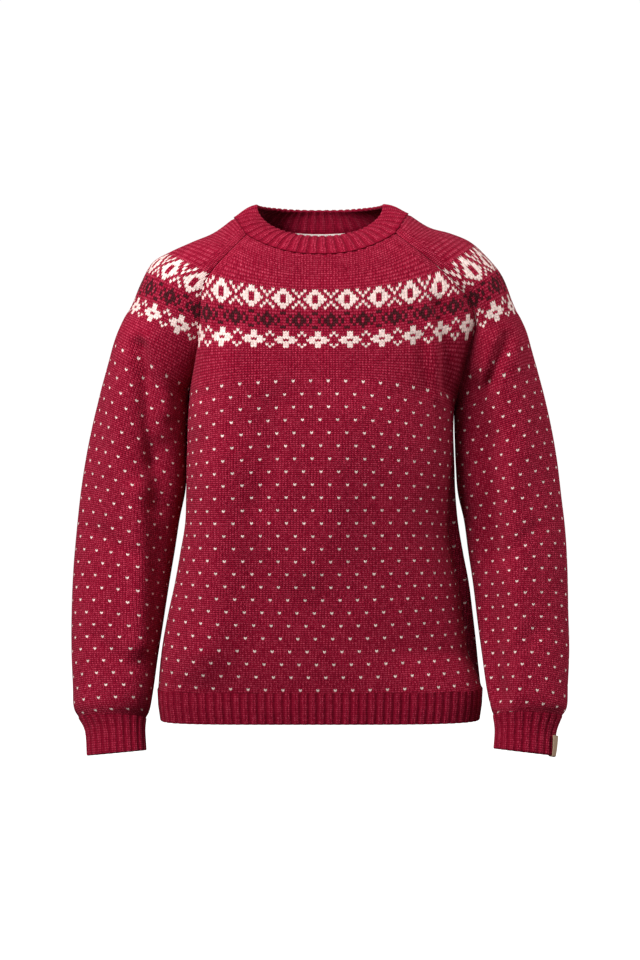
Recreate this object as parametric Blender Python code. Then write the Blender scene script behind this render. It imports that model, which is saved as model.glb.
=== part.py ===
"""Crewneck sweater in fine stranded knit, filled out and hollow, with raglan sleeves.

Each knitted piece is a thin wall. Its outer face is worked out from courses: rows of stitches
that run across the body or around an arm. X points to the wearer's left, -Y is the front, +Z
is up, and the origin is the middle of the neck opening at the height of the back neck seam.
All tables and sizes are in millimetres.
"""
import math

import bpy
import numpy as np

WALL = 2.5
RIB_WALL = 2.4
NECK_RIB_WALL = 3.2
RIB_HEIGHT = 1.5
RIB_BELOW = 0.4
SEAM_GAP = 0.3

FRONT_COLUMNS = 28
BACK_COLUMNS = 20
SLEEVE_COLUMNS = 20
YOKE_STEPS = 14

RIBS_HEM_EACH_HALF = 52
RIBS_NECK = 54
RIBS_CUFF = 22
RIB_RIDGE_FROM = 0.2
RIB_RIDGE_TO = 0.8

COLLAR_HALF_WIDTH = 81.0
COLLAR_FRONT_Y = -70.0
COLLAR_BACK_Y = 76.0
COLLAR_SIDE_Z = 28.0
COLLAR_FRONT_Z = -20.0
COLLAR_BACK_Z = 30.0
COLLAR_BULGE = 2.6

HEM_BOTTOM_Z = -638.0
HEM_PULL_IN = 3.0

LABEL_WIDTH = 66.0
LABEL_HEIGHT = 26.0
LABEL_THICKNESS = 1.0
TAB_HEIGHT = 26.0
TAB_THICKNESS = 1.0

# Courses of the shoulders, from the neck seam down to the underarm point. outer is the top of
# the arm, front and back are the raglan seams. The depths and turns give how far each course
# bows out before it comes back to its seam.
YOKE_COLUMNS = ("outer_x", "outer_y", "outer_z", "front_x", "front_z", "back_x", "back_z",
                "front_depth", "back_depth", "front_turn", "back_turn")
YOKE_RIGHT = (
    (111, 5, 11, 94, -17, 82, 14, 71, 68, 72, 72),
    (138, 5, -9, 106, -30, 93, -2, 78, 73, 78, 76),
    (166, 5, -21, 118, -43, 106, -24, 83, 76, 83, 80),
    (195, 5, -34, 137, -65, 120, -50, 85, 77, 89, 85),
    (218, 4, -48, 149, -87, 132, -79, 84, 76, 97, 92),
    (233, 4, -75, 152, -115, 141, -107, 82, 74, 106, 100),
    (245, 3, -104, 154, -143, 148, -135, 79, 72, 116, 110),
    (254, 2, -119, 158, -168, 155, -163, 75, 70, 127, 122),
    (262, 1, -137, 163, -193, 162, -190, 69, 67, 139, 136),
    (268, 0, -154, 167, -214, 167, -214, 65, 64, 156, 156),
    (273, 0, -172, 169, -232, 169, -232, 62, 61, 180, 180),
)
YOKE_LEFT = (
    (114, 5, 16, 96, -15, 83, 14, 71, 68, 72, 72),
    (142, 5, -2, 110, -27, 95, -2, 78, 73, 78, 76),
    (170, 5, -10, 126, -40, 108, -24, 82, 76, 84, 80),
    (197, 5, -22, 150, -60, 122, -50, 82, 77, 92, 85),
    (222, 4, -46, 173, -82, 134, -79, 79, 76, 102, 92),
    (238, 4, -68, 190, -102, 144, -107, 74, 74, 112, 100),
    (252, 3, -104, 199, -127, 152, -135, 70, 72, 121, 110),
    (261, 2, -121, 192, -160, 159, -163, 68, 70, 131, 122),
    (268, 1, -137, 184, -193, 166, -190, 64, 67, 142, 136),
    (274, 0, -158, 178, -219, 172, -219, 62, 63, 158, 156),
    (281, 0, -182, 174, -240, 174, -240, 60, 60, 180, 180),
)

# Courses of the arms below the underarm: closed rings between an outer and an inner point.
ARM_COLUMNS = ("outer_x", "outer_z", "inner_x", "inner_z", "middle_y", "front_depth",
               "back_depth", "pitch")
ARM_RIGHT = (
    (284, -212, 171.5, -268, -1, 61, 59, 0),
    (294, -252, 173, -304, -2, 59, 57, 0),
    (303, -296, 174.5, -342, -3, 57, 55, 0),
    (310, -342, 182, -380, -5, 55, 53, 2),
    (315, -390, 188, -420, -8, 53, 52, 4),
    (319, -445, 195, -464, -15, 51, 50, 7),
    (320, -500, 202, -513, -25, 48, 47, 10),
    (319, -549, 208, -556, -37, 45, 44, 13),
    (316, -593, 213, -597, -49, 42, 41, 15),
    (314, -620, 217, -622, -57, 39, 38, 15),
)
ARM_LEFT = (
    (292, -223, 175, -276, 1, 59, 59, 0),
    (301, -264, 176.4, -312, 0, 58, 57, 0),
    (308, -306, 179, -347, -2, 56, 55, 0),
    (313, -350, 187, -383, -4, 55, 53, 2),
    (318, -397, 192, -422, -8, 53, 52, 4),
    (320, -447, 198, -465, -15, 51, 50, 7),
    (320, -500, 203, -512, -25, 48, 47, 10),
    (320, -549, 208, -555, -37, 45, 44, 13),
    (317, -593, 213, -596, -49, 42, 41, 15),
    (315, -619, 218, -620, -57, 39, 38, 15),
)
CUFF_RIGHT = (
    (307, -633, 222, -633, -60, 34, 33, 14),
    (298, -650, 223, -648, -64, 30, 29, 11),
    (295, -680, 221, -673, -71, 29, 28, 7),
)
CUFF_LEFT = (
    (308, -631, 221, -629, -60, 34, 33, 14),
    (300, -651, 223, -648, -64, 30, 29, 11),
    (297, -680, 221, -671, -71, 29, 28, 7),
)

# Courses of the body between the raglan seams, from the neck seam down to the underarm. bend is
# how far round each course has turned by the time it reaches the seam.
CHEST_COLUMNS = ("front_y", "front_z", "back_y", "back_z", "front_bend_right",
                 "front_bend_left", "back_bend")
CHEST = (
    (-95, -45, 85, 1, 50, 52, 46),
    (-98, -59, 91, -22, 52, 55, 48),
    (-100, -73, 96, -46, 54, 58, 50),
    (-103, -88, 99, -70, 57, 62, 53),
    (-105, -104, 101, -94, 60, 65, 57),
    (-108, -129, 102, -119, 63, 68, 61),
    (-111, -155, 102, -143, 67, 71, 66),
    (-113, -172, 101, -166, 72, 75, 72),
    (-114, -189, 100, -186, 78, 79, 78),
    (-115, -206, 98, -206, 84, 84, 84),
    (-116, -221, 96, -225, 90, 90, 90),
)

# Courses of the body below the underarm: closed rings around the trunk.
TRUNK_COLUMNS = ("right_x", "left_x", "side_z", "front_y", "front_z", "back_y", "back_z",
                 "square_right", "square_left", "square_back")
TRUNK = (
    (170.5, 173.5, -270, -117, -262, 95, -264, 3.2, 2.7, 2.6),
    (171.7, 174.8, -308, -117, -302, 92, -304, 3.4, 2.8, 2.6),
    (172.3, 176, -346, -115, -342, 88, -343, 3.6, 2.9, 2.7),
    (173.5, 179.5, -385, -112, -382, 87, -383, 3.8, 3.0, 2.8),
    (180, 186, -424, -109, -422, 90, -422, 4.0, 3.1, 3.0),
    (187, 193.5, -463, -107, -462, 95, -462, 4.2, 3.2, 3.2),
    (195.5, 198.5, -502, -106, -502, 100, -502, 4.4, 3.4, 3.3),
    (202.5, 203, -541, -105, -541, 103, -541, 4.6, 3.6, 3.4),
    (206, 206, -571, -104, -571, 103, -571, 4.8, 3.7, 3.5),
    (208, 209, -597.5, -102, -597.5, 100, -597.5, 5.0, 3.8, 3.6),
)
CHEST_SQUARENESS = (3.0, 2.6, 2.6)

# Soft folds: a straight crest or trough as the front view shows it, its half width and how far
# it stands out (a trough is negative).
FOLD_COLUMNS = ("piece", "from_x", "from_z", "to_x", "to_z", "half_width", "rise")
FOLDS = (
    ("front", 167, -150, 171, -205, 13, -9),
    ("front", -124, -290, -118, -520, 20, 3),
    ("front", 96, -330, 118, -520, 34, 4),
    ("sleeve_right", -262, -190, -244, -330, 16, 5),
    ("sleeve_right", -214, -400, -245, -372, 12, -4),
    ("sleeve_right", -228, -470, -258, -440, 13, -4),
    ("sleeve_left", 214, -404, 246, -372, 12, -4),
    ("sleeve_left", 240, -300, 262, -420, 16, 4),
    ("back", -60, -250, 10, -330, 24, -5),
    ("back", 70, -420, 20, -500, 26, -4),
)

for old in list(bpy.data.objects):
    bpy.data.objects.remove(old, do_unlink=True)


def smooth_table(table, steps):
    """The same table read at even steps along a smooth curve through its rows."""
    rows = np.array(table, float)
    last = len(rows) - 1
    padded = np.concatenate([2 * rows[:1] - rows[1:2], rows, 2 * rows[-1:] - rows[-2:-1]])
    read = []
    for place in np.linspace(0.0, last, steps + 1):
        index = min(int(place), last - 1)
        part = place - index
        before, here, there, after = padded[index:index + 4]
        read.append(0.5 * (2 * here + (there - before) * part
                           + (2 * before - 5 * here + 4 * there - after) * part ** 2
                           + (3 * here - before - 3 * there + after) * part ** 3))
    return read


def power_arc(turn_degrees, squareness, count=48):
    """Shares across and inwards along a rounded-square corner, from 0 to 1 at the given turn."""
    end = math.radians(turn_degrees)
    angle = np.linspace(0.0, end, count)
    power = 2.0 / squareness
    across = np.sin(angle) ** power / math.sin(end) ** power
    cosine = np.clip(np.cos(angle), 0.0, 1.0)
    inwards = (1.0 - cosine ** power) / (1.0 - max(math.cos(end), 0.0) ** power)
    return across, inwards


def evenly_spaced(points, count):
    """The same curve with count equal steps along its length."""
    steps = np.linalg.norm(np.diff(points, axis=0), axis=1)
    along = np.concatenate([[0.0], np.cumsum(steps)])
    wanted = np.linspace(0.0, along[-1], count + 1)
    return np.stack([np.interp(wanted, along, points[:, axis]) for axis in range(3)], axis=1)


def half_body_course(centre, seam, turn, squareness, columns):
    """Half a course of the trunk, from its centre line to its seam."""
    across, inwards = power_arc(turn, squareness)
    reach = np.asarray(seam, float) - np.asarray(centre, float)
    points = np.stack([
        centre[0] + reach[0] * across,
        centre[1] + reach[1] * inwards,
        centre[2] + reach[2] * across ** 2.4,
    ], axis=1)
    return evenly_spaced(points, columns)


def body_course(centre, first, last, turns, squareness, columns):
    """A whole course of a front or back panel, from seam to seam through its centre line."""
    half = columns // 2
    start = half_body_course(centre, first, turns[0], squareness[0], half)
    end = half_body_course(centre, last, turns[1], squareness[1], half)
    return np.concatenate([start[::-1], end[1:]])


def half_arm_course(outer, seam_x, seam_z, depth, turn, pitch, forward, columns):
    """Half a course of a sleeve, from the top of the arm to its seam or underarm line."""
    angle = np.radians(np.linspace(0.0, turn, 60))
    share = (1.0 - np.cos(angle)) / (1.0 - math.cos(math.radians(turn)))
    swing = depth * np.sin(angle)
    lean = math.radians(pitch)
    points = np.stack([
        outer[0] + (seam_x - outer[0]) * share,
        outer[1] + forward * swing * math.cos(lean),
        outer[2] + (seam_z - outer[2]) * share - forward * swing * math.sin(lean),
    ], axis=1)
    return evenly_spaced(points, columns)


def arm_course(front_half, back_half, side):
    """A sleeve course in the order that turns its outer face outwards."""
    if side > 0:
        return np.concatenate([front_half[::-1], back_half[1:]])
    return np.concatenate([back_half[::-1], front_half[1:]])


def yoke_sleeve_rows(table, side):
    """Courses of the sleeve head, with the front and back seam points of each."""
    rows = []
    half = SLEEVE_COLUMNS // 2
    for row in smooth_table(table, YOKE_STEPS):
        v = dict(zip(YOKE_COLUMNS, row))
        v["front_turn"] = min(v["front_turn"], 180.0)
        v["back_turn"] = min(v["back_turn"], 180.0)
        outer = (side * v["outer_x"], v["outer_y"], v["outer_z"])
        front = half_arm_course(outer, side * v["front_x"], v["front_z"], v["front_depth"],
                                v["front_turn"], 0.0, -1.0, half)
        back = half_arm_course(outer, side * v["back_x"], v["back_z"], v["back_depth"],
                               v["back_turn"], 0.0, 1.0, half)
        rows.append((arm_course(front, back, side), front[-1], back[-1]))
    return rows


def ring_rows(table, side):
    """Closed courses of the arm or cuff."""
    rows = []
    half = SLEEVE_COLUMNS // 2
    for row in table:
        v = dict(zip(ARM_COLUMNS, row))
        outer = (side * v["outer_x"], v["middle_y"], v["outer_z"])
        inner_x = side * v["inner_x"]
        front = half_arm_course(outer, inner_x, v["inner_z"], v["front_depth"], 180.0,
                                v["pitch"], -1.0, half)
        back = half_arm_course(outer, inner_x, v["inner_z"], v["back_depth"], 180.0,
                               v["pitch"], 1.0, half)
        rows.append(arm_course(front, back, side))
    return rows


def add_folds(name, grid, normals):
    """Moves the points of a panel along their normals where a fold crosses them."""
    rows, columns = grid.shape[:2]
    rise = np.zeros((rows, columns))
    for row in FOLDS:
        fold = dict(zip(FOLD_COLUMNS, row))
        if fold["piece"] != name:
            continue
        start = np.array([fold["from_x"], fold["from_z"]], float)
        run = np.array([fold["to_x"], fold["to_z"]], float) - start
        flat = grid[:, :, [0, 2]] - start
        share = np.clip((flat @ run) / (run @ run), 0.0, 1.0)
        away = np.linalg.norm(flat - share[..., None] * run, axis=2)
        facing = grid[:, :, 1] < 0 if name != "back" else grid[:, :, 1] > 0
        rise += facing * fold["rise"] * np.exp(-(away / fold["half_width"]) ** 2)
    rise[:, 0] = 0.0
    rise[:, -1] = 0.0
    rise[0, :] = 0.0
    rise[-1, :] = 0.0
    return grid + normals * rise[..., None]


def grid_normals(grid, closed_from=None):
    """Outward unit normals of a grid of courses; rows from closed_from on close on themselves."""
    along = np.empty_like(grid)
    along[:, 1:-1] = grid[:, 2:] - grid[:, :-2]
    along[:, 0] = grid[:, 1] - grid[:, 0]
    along[:, -1] = grid[:, -1] - grid[:, -2]
    if closed_from is not None:
        wrap = grid[closed_from:, 1] - grid[closed_from:, -2]
        along[closed_from:, 0] = wrap
        along[closed_from:, -1] = wrap
    down = np.empty_like(grid)
    down[1:-1] = grid[2:] - grid[:-2]
    down[0] = grid[1] - grid[0]
    down[-1] = grid[-1] - grid[-2]
    if closed_from is not None and closed_from > 0:
        down[closed_from, 0] = grid[closed_from + 1, 0] - grid[closed_from, 0]
        down[closed_from, -1] = down[closed_from, 0]
    normal = np.cross(down, along)
    return normal / np.linalg.norm(normal, axis=2, keepdims=True)


def point_key(point):
    return tuple(int(round(value * 50)) for value in point)


def share_normals(panels):
    """Where pieces meet in a smooth seam, gives both edges the same normal."""
    meeting = {}
    for name, panel in panels.items():
        grid = panel["grid"]
        rows, columns = grid.shape[:2]
        for r in range(rows):
            for c in range(columns):
                if r in (0, rows - 1) or c in (0, columns - 1):
                    meeting.setdefault(point_key(grid[r, c]), []).append((name, r, c))
    for places in meeting.values():
        if len(places) < 2:
            continue
        own = [panels[n]["normals"][r, c].copy() for n, r, c in places]
        for (n, r, c), normal in zip(places, own):
            total = sum(other for other in own if float(other @ normal) > 0.45)
            panels[n]["normals"][r, c] = total / np.linalg.norm(total)


def draw_back_edges(panel, top, bottom, sides):
    """Moves the edges of a panel back by half the seam gap, along its own face."""
    grid = panel["grid"]
    moved = grid.copy()
    step = SEAM_GAP / 2

    def towards(edge, inside):
        run = inside - edge
        return edge + step * run / np.linalg.norm(run, axis=-1, keepdims=True)

    open_rows = grid.shape[0] if panel["closed_from"] is None else panel["closed_from"] + 1
    if sides:
        moved[:open_rows, 0] = towards(grid[:open_rows, 0], grid[:open_rows, 1])
        moved[:open_rows, -1] = towards(grid[:open_rows, -1], grid[:open_rows, -2])
        inset = panel["normals"][:, [0, -1]] * step
        moved[:open_rows, 0] -= inset[:open_rows, 0]
        moved[:open_rows, -1] -= inset[:open_rows, 1]
    if panel["closed_from"] is not None and panel["closed_from"] > 0:
        row = panel["closed_from"]
        lowered = towards(grid[row, 0], grid[row + 1, 0]) - panel["normals"][row, 0] * step
        moved[row, 0] = lowered
        moved[row, -1] = lowered
    if top:
        moved[0] += towards(grid[0], grid[1]) - grid[0]
    if bottom:
        moved[-1] += towards(grid[-1], grid[-2]) - grid[-1]
    panel["grid"] = moved


def new_material(name, colour, roughness):
    material = bpy.data.materials.new(name)
    material.use_nodes = True
    shader = material.node_tree.nodes["Principled BSDF"]
    shader.inputs["Base Color"].default_value = (*colour, 1.0)
    shader.inputs["Roughness"].default_value = roughness
    return material


def make_object(name, points, faces, material, crease=50.0):
    """A named solid from points in millimetres."""
    mesh = bpy.data.meshes.new(name)
    mesh.from_pydata([tuple(p * 0.001) for p in points], [], faces)
    mesh.materials.append(material)
    for polygon in mesh.polygons:
        polygon.use_smooth = True
    mesh.set_sharp_from_angle(angle=math.radians(crease))
    mesh.validate()
    mesh.update()
    made = bpy.data.objects.new(name, mesh)
    bpy.context.collection.objects.link(made)
    return made


def close_wall(outer_points, inner_points, outer_faces):
    """Outer faces, the same faces turned round on the inner points, and a strip at each edge."""
    count = len(outer_points)
    faces = [list(face) for face in outer_faces]
    faces += [[corner + count for corner in reversed(face)] for face in outer_faces]
    used = set()
    for face in outer_faces:
        for first, second in zip(face, face[1:] + face[:1]):
            used.add((first, second))
    for first, second in sorted(used):
        if (second, first) not in used:
            faces.append([second, first, first + count, second + count])
    return np.concatenate([outer_points, inner_points]), faces


def panel_wall(name, panel, material):
    """The wall of a knitted panel or sleeve."""
    grid = panel["grid"]
    normals = panel["normals"]
    rows, columns = grid.shape[:2]
    closed_from = rows if panel["closed_from"] is None else panel["closed_from"]
    number = {}
    points = []
    inner = []
    for r in range(rows):
        for c in range(columns):
            if r >= closed_from and c == columns - 1:
                number[r, c] = number[r, 0]
                continue
            number[r, c] = len(points)
            points.append(grid[r, c])
            inner.append(grid[r, c] - normals[r, c] * WALL)
    faces = []
    for r in range(rows - 1):
        for c in range(columns - 1):
            faces.append([number[r, c], number[r + 1, c], number[r + 1, c + 1],
                          number[r, c + 1]])
    all_points, all_faces = close_wall(np.array(points), np.array(inner), faces)
    return make_object(name, all_points, all_faces, material)


def along_row(values, columns, wanted):
    """Values of a coarse row read at fractional column positions."""
    places = np.arange(columns)
    return np.stack([np.interp(wanted, places, values[:, axis]) for axis in range(3)], axis=1)


def rib_wall(name, rows, normals, ribs, closed, wall, material):
    """A ribbed band: three outer points to a rib, one inner point, over coarse rows."""
    base = rows[0]
    steps = np.linalg.norm(np.diff(base, axis=0), axis=1)
    length = np.concatenate([[0.0], np.cumsum(steps)])
    columns = len(base)
    starts = np.arange(ribs + 1) / ribs * length[-1]
    inner_places = np.interp(starts, length, np.arange(columns))
    outer_share = []
    outer_height = []
    for rib in range(ribs):
        outer_share += [rib, rib + RIB_RIDGE_FROM, rib + RIB_RIDGE_TO]
        outer_height += [-RIB_BELOW, RIB_HEIGHT - RIB_BELOW, RIB_HEIGHT - RIB_BELOW]
    outer_share.append(ribs)
    outer_height.append(-RIB_BELOW)
    outer_places = np.interp(np.array(outer_share) / ribs * length[-1], length,
                             np.arange(columns))
    height = np.array(outer_height)[:, None]
    outer_rows = []
    inner_rows = []
    for row, normal in zip(rows, normals):
        facing = along_row(normal, columns, outer_places)
        facing /= np.linalg.norm(facing, axis=1, keepdims=True)
        outer_rows.append(along_row(row, columns, outer_places) + facing * height)
        facing = along_row(normal, columns, inner_places)
        facing /= np.linalg.norm(facing, axis=1, keepdims=True)
        inner_rows.append(along_row(row, columns, inner_places) - facing * wall)
    levels = len(rows)
    wide = 3 * ribs + 1
    narrow = ribs + 1
    points = np.concatenate(outer_rows + inner_rows)
    inner_start = levels * wide

    def outer(level, column):
        return level * wide + (column % (3 * ribs) if closed else column)

    def inner(level, column):
        return inner_start + level * narrow + (column % ribs if closed else column)

    faces = []
    for level in range(levels - 1):
        for column in range(3 * ribs):
            faces.append([outer(level, column), outer(level + 1, column),
                          outer(level + 1, column + 1), outer(level, column + 1)])
        for column in range(ribs):
            faces.append([inner(level, column), inner(level, column + 1),
                          inner(level + 1, column + 1), inner(level + 1, column)])
    last = levels - 1
    for rib in range(ribs):
        top = [outer(0, 3 * rib + step) for step in range(4)]
        low = [outer(last, 3 * rib + step) for step in range(4)]
        here, there = inner(0, rib), inner(0, rib + 1)
        faces += [[here, top[0], top[1]], [here, top[1], top[2], there],
                  [there, top[2], top[3]]]
        here, there = inner(last, rib), inner(last, rib + 1)
        faces += [[here, low[1], low[0]], [here, there, low[2], low[1]],
                  [there, low[3], low[2]]]
    if not closed:
        for level in range(last):
            faces.append([outer(level, 0), inner(level, 0), inner(level + 1, 0),
                          outer(level + 1, 0)])
            faces.append([outer(level, 3 * ribs), outer(level + 1, 3 * ribs),
                          inner(level + 1, ribs), inner(level, ribs)])
    used = sorted({corner for face in faces for corner in face})
    renumber = {old: new for new, old in enumerate(used)}
    faces = [[renumber[corner] for corner in face] for face in faces]
    return make_object(name, points[used], faces, material, crease=40.0)


# Sleeves: open courses over the shoulder, then closed rings down to the cuff seam.
yoke = {
    "right": yoke_sleeve_rows(YOKE_RIGHT, -1.0),
    "left": yoke_sleeve_rows(YOKE_LEFT, 1.0),
}
arms = {
    "right": ring_rows(ARM_RIGHT + CUFF_RIGHT[:1], -1.0),
    "left": ring_rows(ARM_LEFT + CUFF_LEFT[:1], 1.0),
}
underarm_row = YOKE_STEPS
panels = {}
for hand in ("right", "left"):
    sleeve = np.array([row[0] for row in yoke[hand]] + arms[hand])
    panels["sleeve_" + hand] = {"grid": sleeve, "closed_from": underarm_row}

# Front and back: courses between the raglan seams, then from side seam to side seam.
front_rows = []
back_rows = []
for row, right, left in zip(smooth_table(CHEST, YOKE_STEPS), yoke["right"], yoke["left"]):
    v = dict(zip(CHEST_COLUMNS, row))
    front_rows.append(body_course((0, v["front_y"], v["front_z"]), right[1], left[1],
                                  (v["front_bend_right"], v["front_bend_left"]),
                                  CHEST_SQUARENESS[:2], FRONT_COLUMNS))
    back_rows.append(body_course((0, v["back_y"], v["back_z"]), left[2], right[2],
                                 (v["back_bend"], v["back_bend"]),
                                 (CHEST_SQUARENESS[2], CHEST_SQUARENESS[2]), BACK_COLUMNS))
for row in TRUNK:
    v = dict(zip(TRUNK_COLUMNS, row))
    right_side = (-v["right_x"], 0.0, v["side_z"])
    left_side = (v["left_x"], 0.0, v["side_z"])
    front_rows.append(body_course((0, v["front_y"], v["front_z"]), right_side, left_side,
                                  (90, 90), (v["square_right"], v["square_left"]),
                                  FRONT_COLUMNS))
    back_rows.append(body_course((0, v["back_y"], v["back_z"]), left_side, right_side,
                                 (90, 90), (v["square_back"], v["square_back"]),
                                 BACK_COLUMNS))
panels["front"] = {"grid": np.array(front_rows), "closed_from": None}
panels["back"] = {"grid": np.array(back_rows), "closed_from": None}
for name, panel in panels.items():
    panel["normals"] = grid_normals(panel["grid"], panel["closed_from"])
    panel["grid"] = add_folds(name, panel["grid"], panel["normals"])
    panel["normals"] = grid_normals(panel["grid"], panel["closed_from"])

# Neck rib: from the neck seam over a soft bulge to the rim.
neck_loop = np.concatenate([
    panels["sleeve_right"]["grid"][0][:-1],
    panels["front"]["grid"][0][:-1],
    panels["sleeve_left"]["grid"][0][:-1],
    panels["back"]["grid"][0],
])
neck_loop[-1] = neck_loop[0]


def collar_rim(point):
    """The rim point above a point of the neck seam."""
    angle = math.atan2(point[1] / 90.0, point[0] / 112.0)
    depth = -COLLAR_FRONT_Y if math.sin(angle) < 0 else COLLAR_BACK_Y
    x = COLLAR_HALF_WIDTH * math.cos(angle)
    y = depth * math.sin(angle)
    if y < 0:
        fall = (1.0 - min(1.0, y / COLLAR_FRONT_Y)) ** 1.05
        z = COLLAR_FRONT_Z + (COLLAR_SIDE_Z - COLLAR_FRONT_Z) * fall
    else:
        z = COLLAR_SIDE_Z + (COLLAR_BACK_Z - COLLAR_SIDE_Z) * y / COLLAR_BACK_Y
    return np.array([x, y, z])


rim_loop = np.array([collar_rim(point) for point in neck_loop])
collar_rows = []
for share in (1.0, 0.86, 0.45, 0.0):
    row = neck_loop + (rim_loop - neck_loop) * share
    outwards = row * [1.0, 1.0, 0.0]
    outwards /= np.linalg.norm(outwards, axis=1, keepdims=True)
    lift = COLLAR_BULGE * math.sin(math.pi * share ** 1.4)
    collar_rows.append(row + lift * (outwards * 0.6 + np.array([0.0, 0.0, 0.8])))
panels["neck_rib"] = {"grid": np.array(collar_rows), "closed_from": 0}

# Hem ribs: under the front and the back panel.
for name in ("front", "back"):
    seam_row = panels[name]["grid"][-1]
    hem_rows = [seam_row]
    for share, inset in ((0.5, 0.25), (1.0, 1.0)):
        row = seam_row.copy()
        row[:, 2] = seam_row[:, 2] + (HEM_BOTTOM_Z - seam_row[:, 2]) * share
        row[:, :2] *= 1.0 - HEM_PULL_IN * inset / 160.0
        hem_rows.append(row)
    panels["hem_rib_" + name] = {"grid": np.array(hem_rows), "closed_from": None}

# Cuffs: under the last ring of each sleeve.
for hand, side, table in (("right", -1.0, CUFF_RIGHT), ("left", 1.0, CUFF_LEFT)):
    panels["cuff_" + hand] = {"grid": np.array(ring_rows(table, side)), "closed_from": 0}

for name, panel in panels.items():
    if "normals" not in panel:
        panel["normals"] = grid_normals(panel["grid"], panel["closed_from"])
for panel in panels.values():
    if panel["closed_from"] is not None:
        first = panel["closed_from"]
        panel["normals"][first:, -1] = panel["normals"][first:, 0]
share_normals(panels)
for name, panel in panels.items():
    is_band = name.startswith(("neck", "hem", "cuff"))
    draw_back_edges(panel, top=not name.startswith("neck"), bottom=not name.startswith(
        ("hem", "cuff")), sides=panel["closed_from"] is None or not is_band)

wool = new_material("knit_wool", (0.30, 0.012, 0.045), 0.85)
rib_wool = new_material("rib_wool", (0.27, 0.010, 0.040), 0.85)
label_cloth = new_material("label_cloth", (0.75, 0.70, 0.62), 0.8)
tab_leather = new_material("tab_tan", (0.52, 0.36, 0.20), 0.6)

for name in ("front", "back", "sleeve_right", "sleeve_left"):
    panel_wall(name, panels[name], wool)
for name, ribs, closed, wall in (
        ("neck_rib", RIBS_NECK, True, NECK_RIB_WALL),
        ("hem_rib_front", RIBS_HEM_EACH_HALF, False, RIB_WALL),
        ("hem_rib_back", RIBS_HEM_EACH_HALF, False, RIB_WALL),
        ("cuff_right", RIBS_CUFF, True, RIB_WALL),
        ("cuff_left", RIBS_CUFF, True, RIB_WALL)):
    rib_wall(name, panels[name]["grid"], panels[name]["normals"], ribs, closed, wall, rib_wool)


def small_strip(name, grid, thickness, material):
    """A thin flat strip: rows of the same width one under the other."""
    rows, count = grid.shape[:2]
    outer_faces = []
    for r in range(rows - 1):
        for c in range(count - 1):
            outer_faces.append([r * count + c, (r + 1) * count + c, (r + 1) * count + c + 1,
                                r * count + c + 1])
    flat = grid.reshape(-1, 3)
    normal = grid_normals(grid).reshape(-1, 3)
    points, faces = close_wall(flat, flat - normal * thickness, outer_faces)
    return make_object(name, points, faces, material)


# Neck label: hangs free inside the back panel from just under the neck seam.
back_grid = panels["back"]["grid"]
back_inner = back_grid - panels["back"]["normals"] * (WALL + SEAM_GAP)
label_x = np.linspace(LABEL_WIDTH / 2, -LABEL_WIDTH / 2, 7)
row_x = back_inner[0, ::-1, 0]
label_top = np.stack([
    label_x,
    np.interp(label_x, row_x, back_inner[0, ::-1, 1]),
    np.interp(label_x, row_x, back_inner[0, ::-1, 2]) - 2.4,
], axis=1)
label_rows = [label_top, label_top + [0.0, 0.6, -10.0], label_top + [0.0, 1.2, -LABEL_HEIGHT]]
small_strip("neck_label", np.array(label_rows), LABEL_THICKNESS, label_cloth)

# Cuff tab: lies on the ridges at the outer edge of the left cuff, down to its lower edge.
cuff = panels["cuff_left"]
stand_off = RIB_HEIGHT - RIB_BELOW + SEAM_GAP + TAB_THICKNESS
cuff_out = cuff["grid"] + cuff["normals"] * stand_off
arm_top = SLEEVE_COLUMNS // 2
lower = cuff_out[2, arm_top - 1:arm_top + 1]
run = cuff_out[1, arm_top - 1:arm_top + 1] - lower
run *= TAB_HEIGHT / np.linalg.norm(run, axis=1, keepdims=True)
tab_rows = [lower + run, lower + run * 0.5, lower]
small_strip("cuff_tab", np.array(tab_rows), TAB_THICKNESS, tab_leather)
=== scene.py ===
"""Crewneck sweater in fine stranded wool, filled out and hollow, with raglan sleeves.

Sizes in the tables are millimetres. X is the wearer's left, -Y the front and Z up, and the
origin is the middle of the neck opening at the height of the back neck seam.
"""
import math
from functools import partial

import bpy
import numpy as np
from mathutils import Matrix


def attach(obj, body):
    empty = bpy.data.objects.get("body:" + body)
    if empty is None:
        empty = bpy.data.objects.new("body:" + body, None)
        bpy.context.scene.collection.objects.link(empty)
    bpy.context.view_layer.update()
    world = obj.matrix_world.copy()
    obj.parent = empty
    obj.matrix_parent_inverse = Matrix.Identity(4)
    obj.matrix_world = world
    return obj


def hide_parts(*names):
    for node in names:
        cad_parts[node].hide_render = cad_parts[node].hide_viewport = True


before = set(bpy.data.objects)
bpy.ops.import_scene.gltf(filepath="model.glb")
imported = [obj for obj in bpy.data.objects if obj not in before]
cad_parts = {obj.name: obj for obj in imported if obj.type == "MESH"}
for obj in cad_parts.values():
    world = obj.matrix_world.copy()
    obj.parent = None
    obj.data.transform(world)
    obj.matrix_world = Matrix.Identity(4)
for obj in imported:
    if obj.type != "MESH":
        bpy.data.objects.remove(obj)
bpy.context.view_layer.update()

# Sleeves: each is one piece of fine stranded knitting with a raglan head, sewn into a tube along
# the underarm. The courses run from the neck over the shoulder, then round the arm to the cuff.
# Both raglan edges are linked to the front and the back panel.
WALL = 2.5
SEAM_GAP = 0.1
STITCH_WIDTH = 3.65
ROW_HEIGHT = 2.7
YOKE_STEPS = 56
STEPS_TO_A_RING = 8
SLEEVE_HALF_COLUMNS = 40

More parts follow.
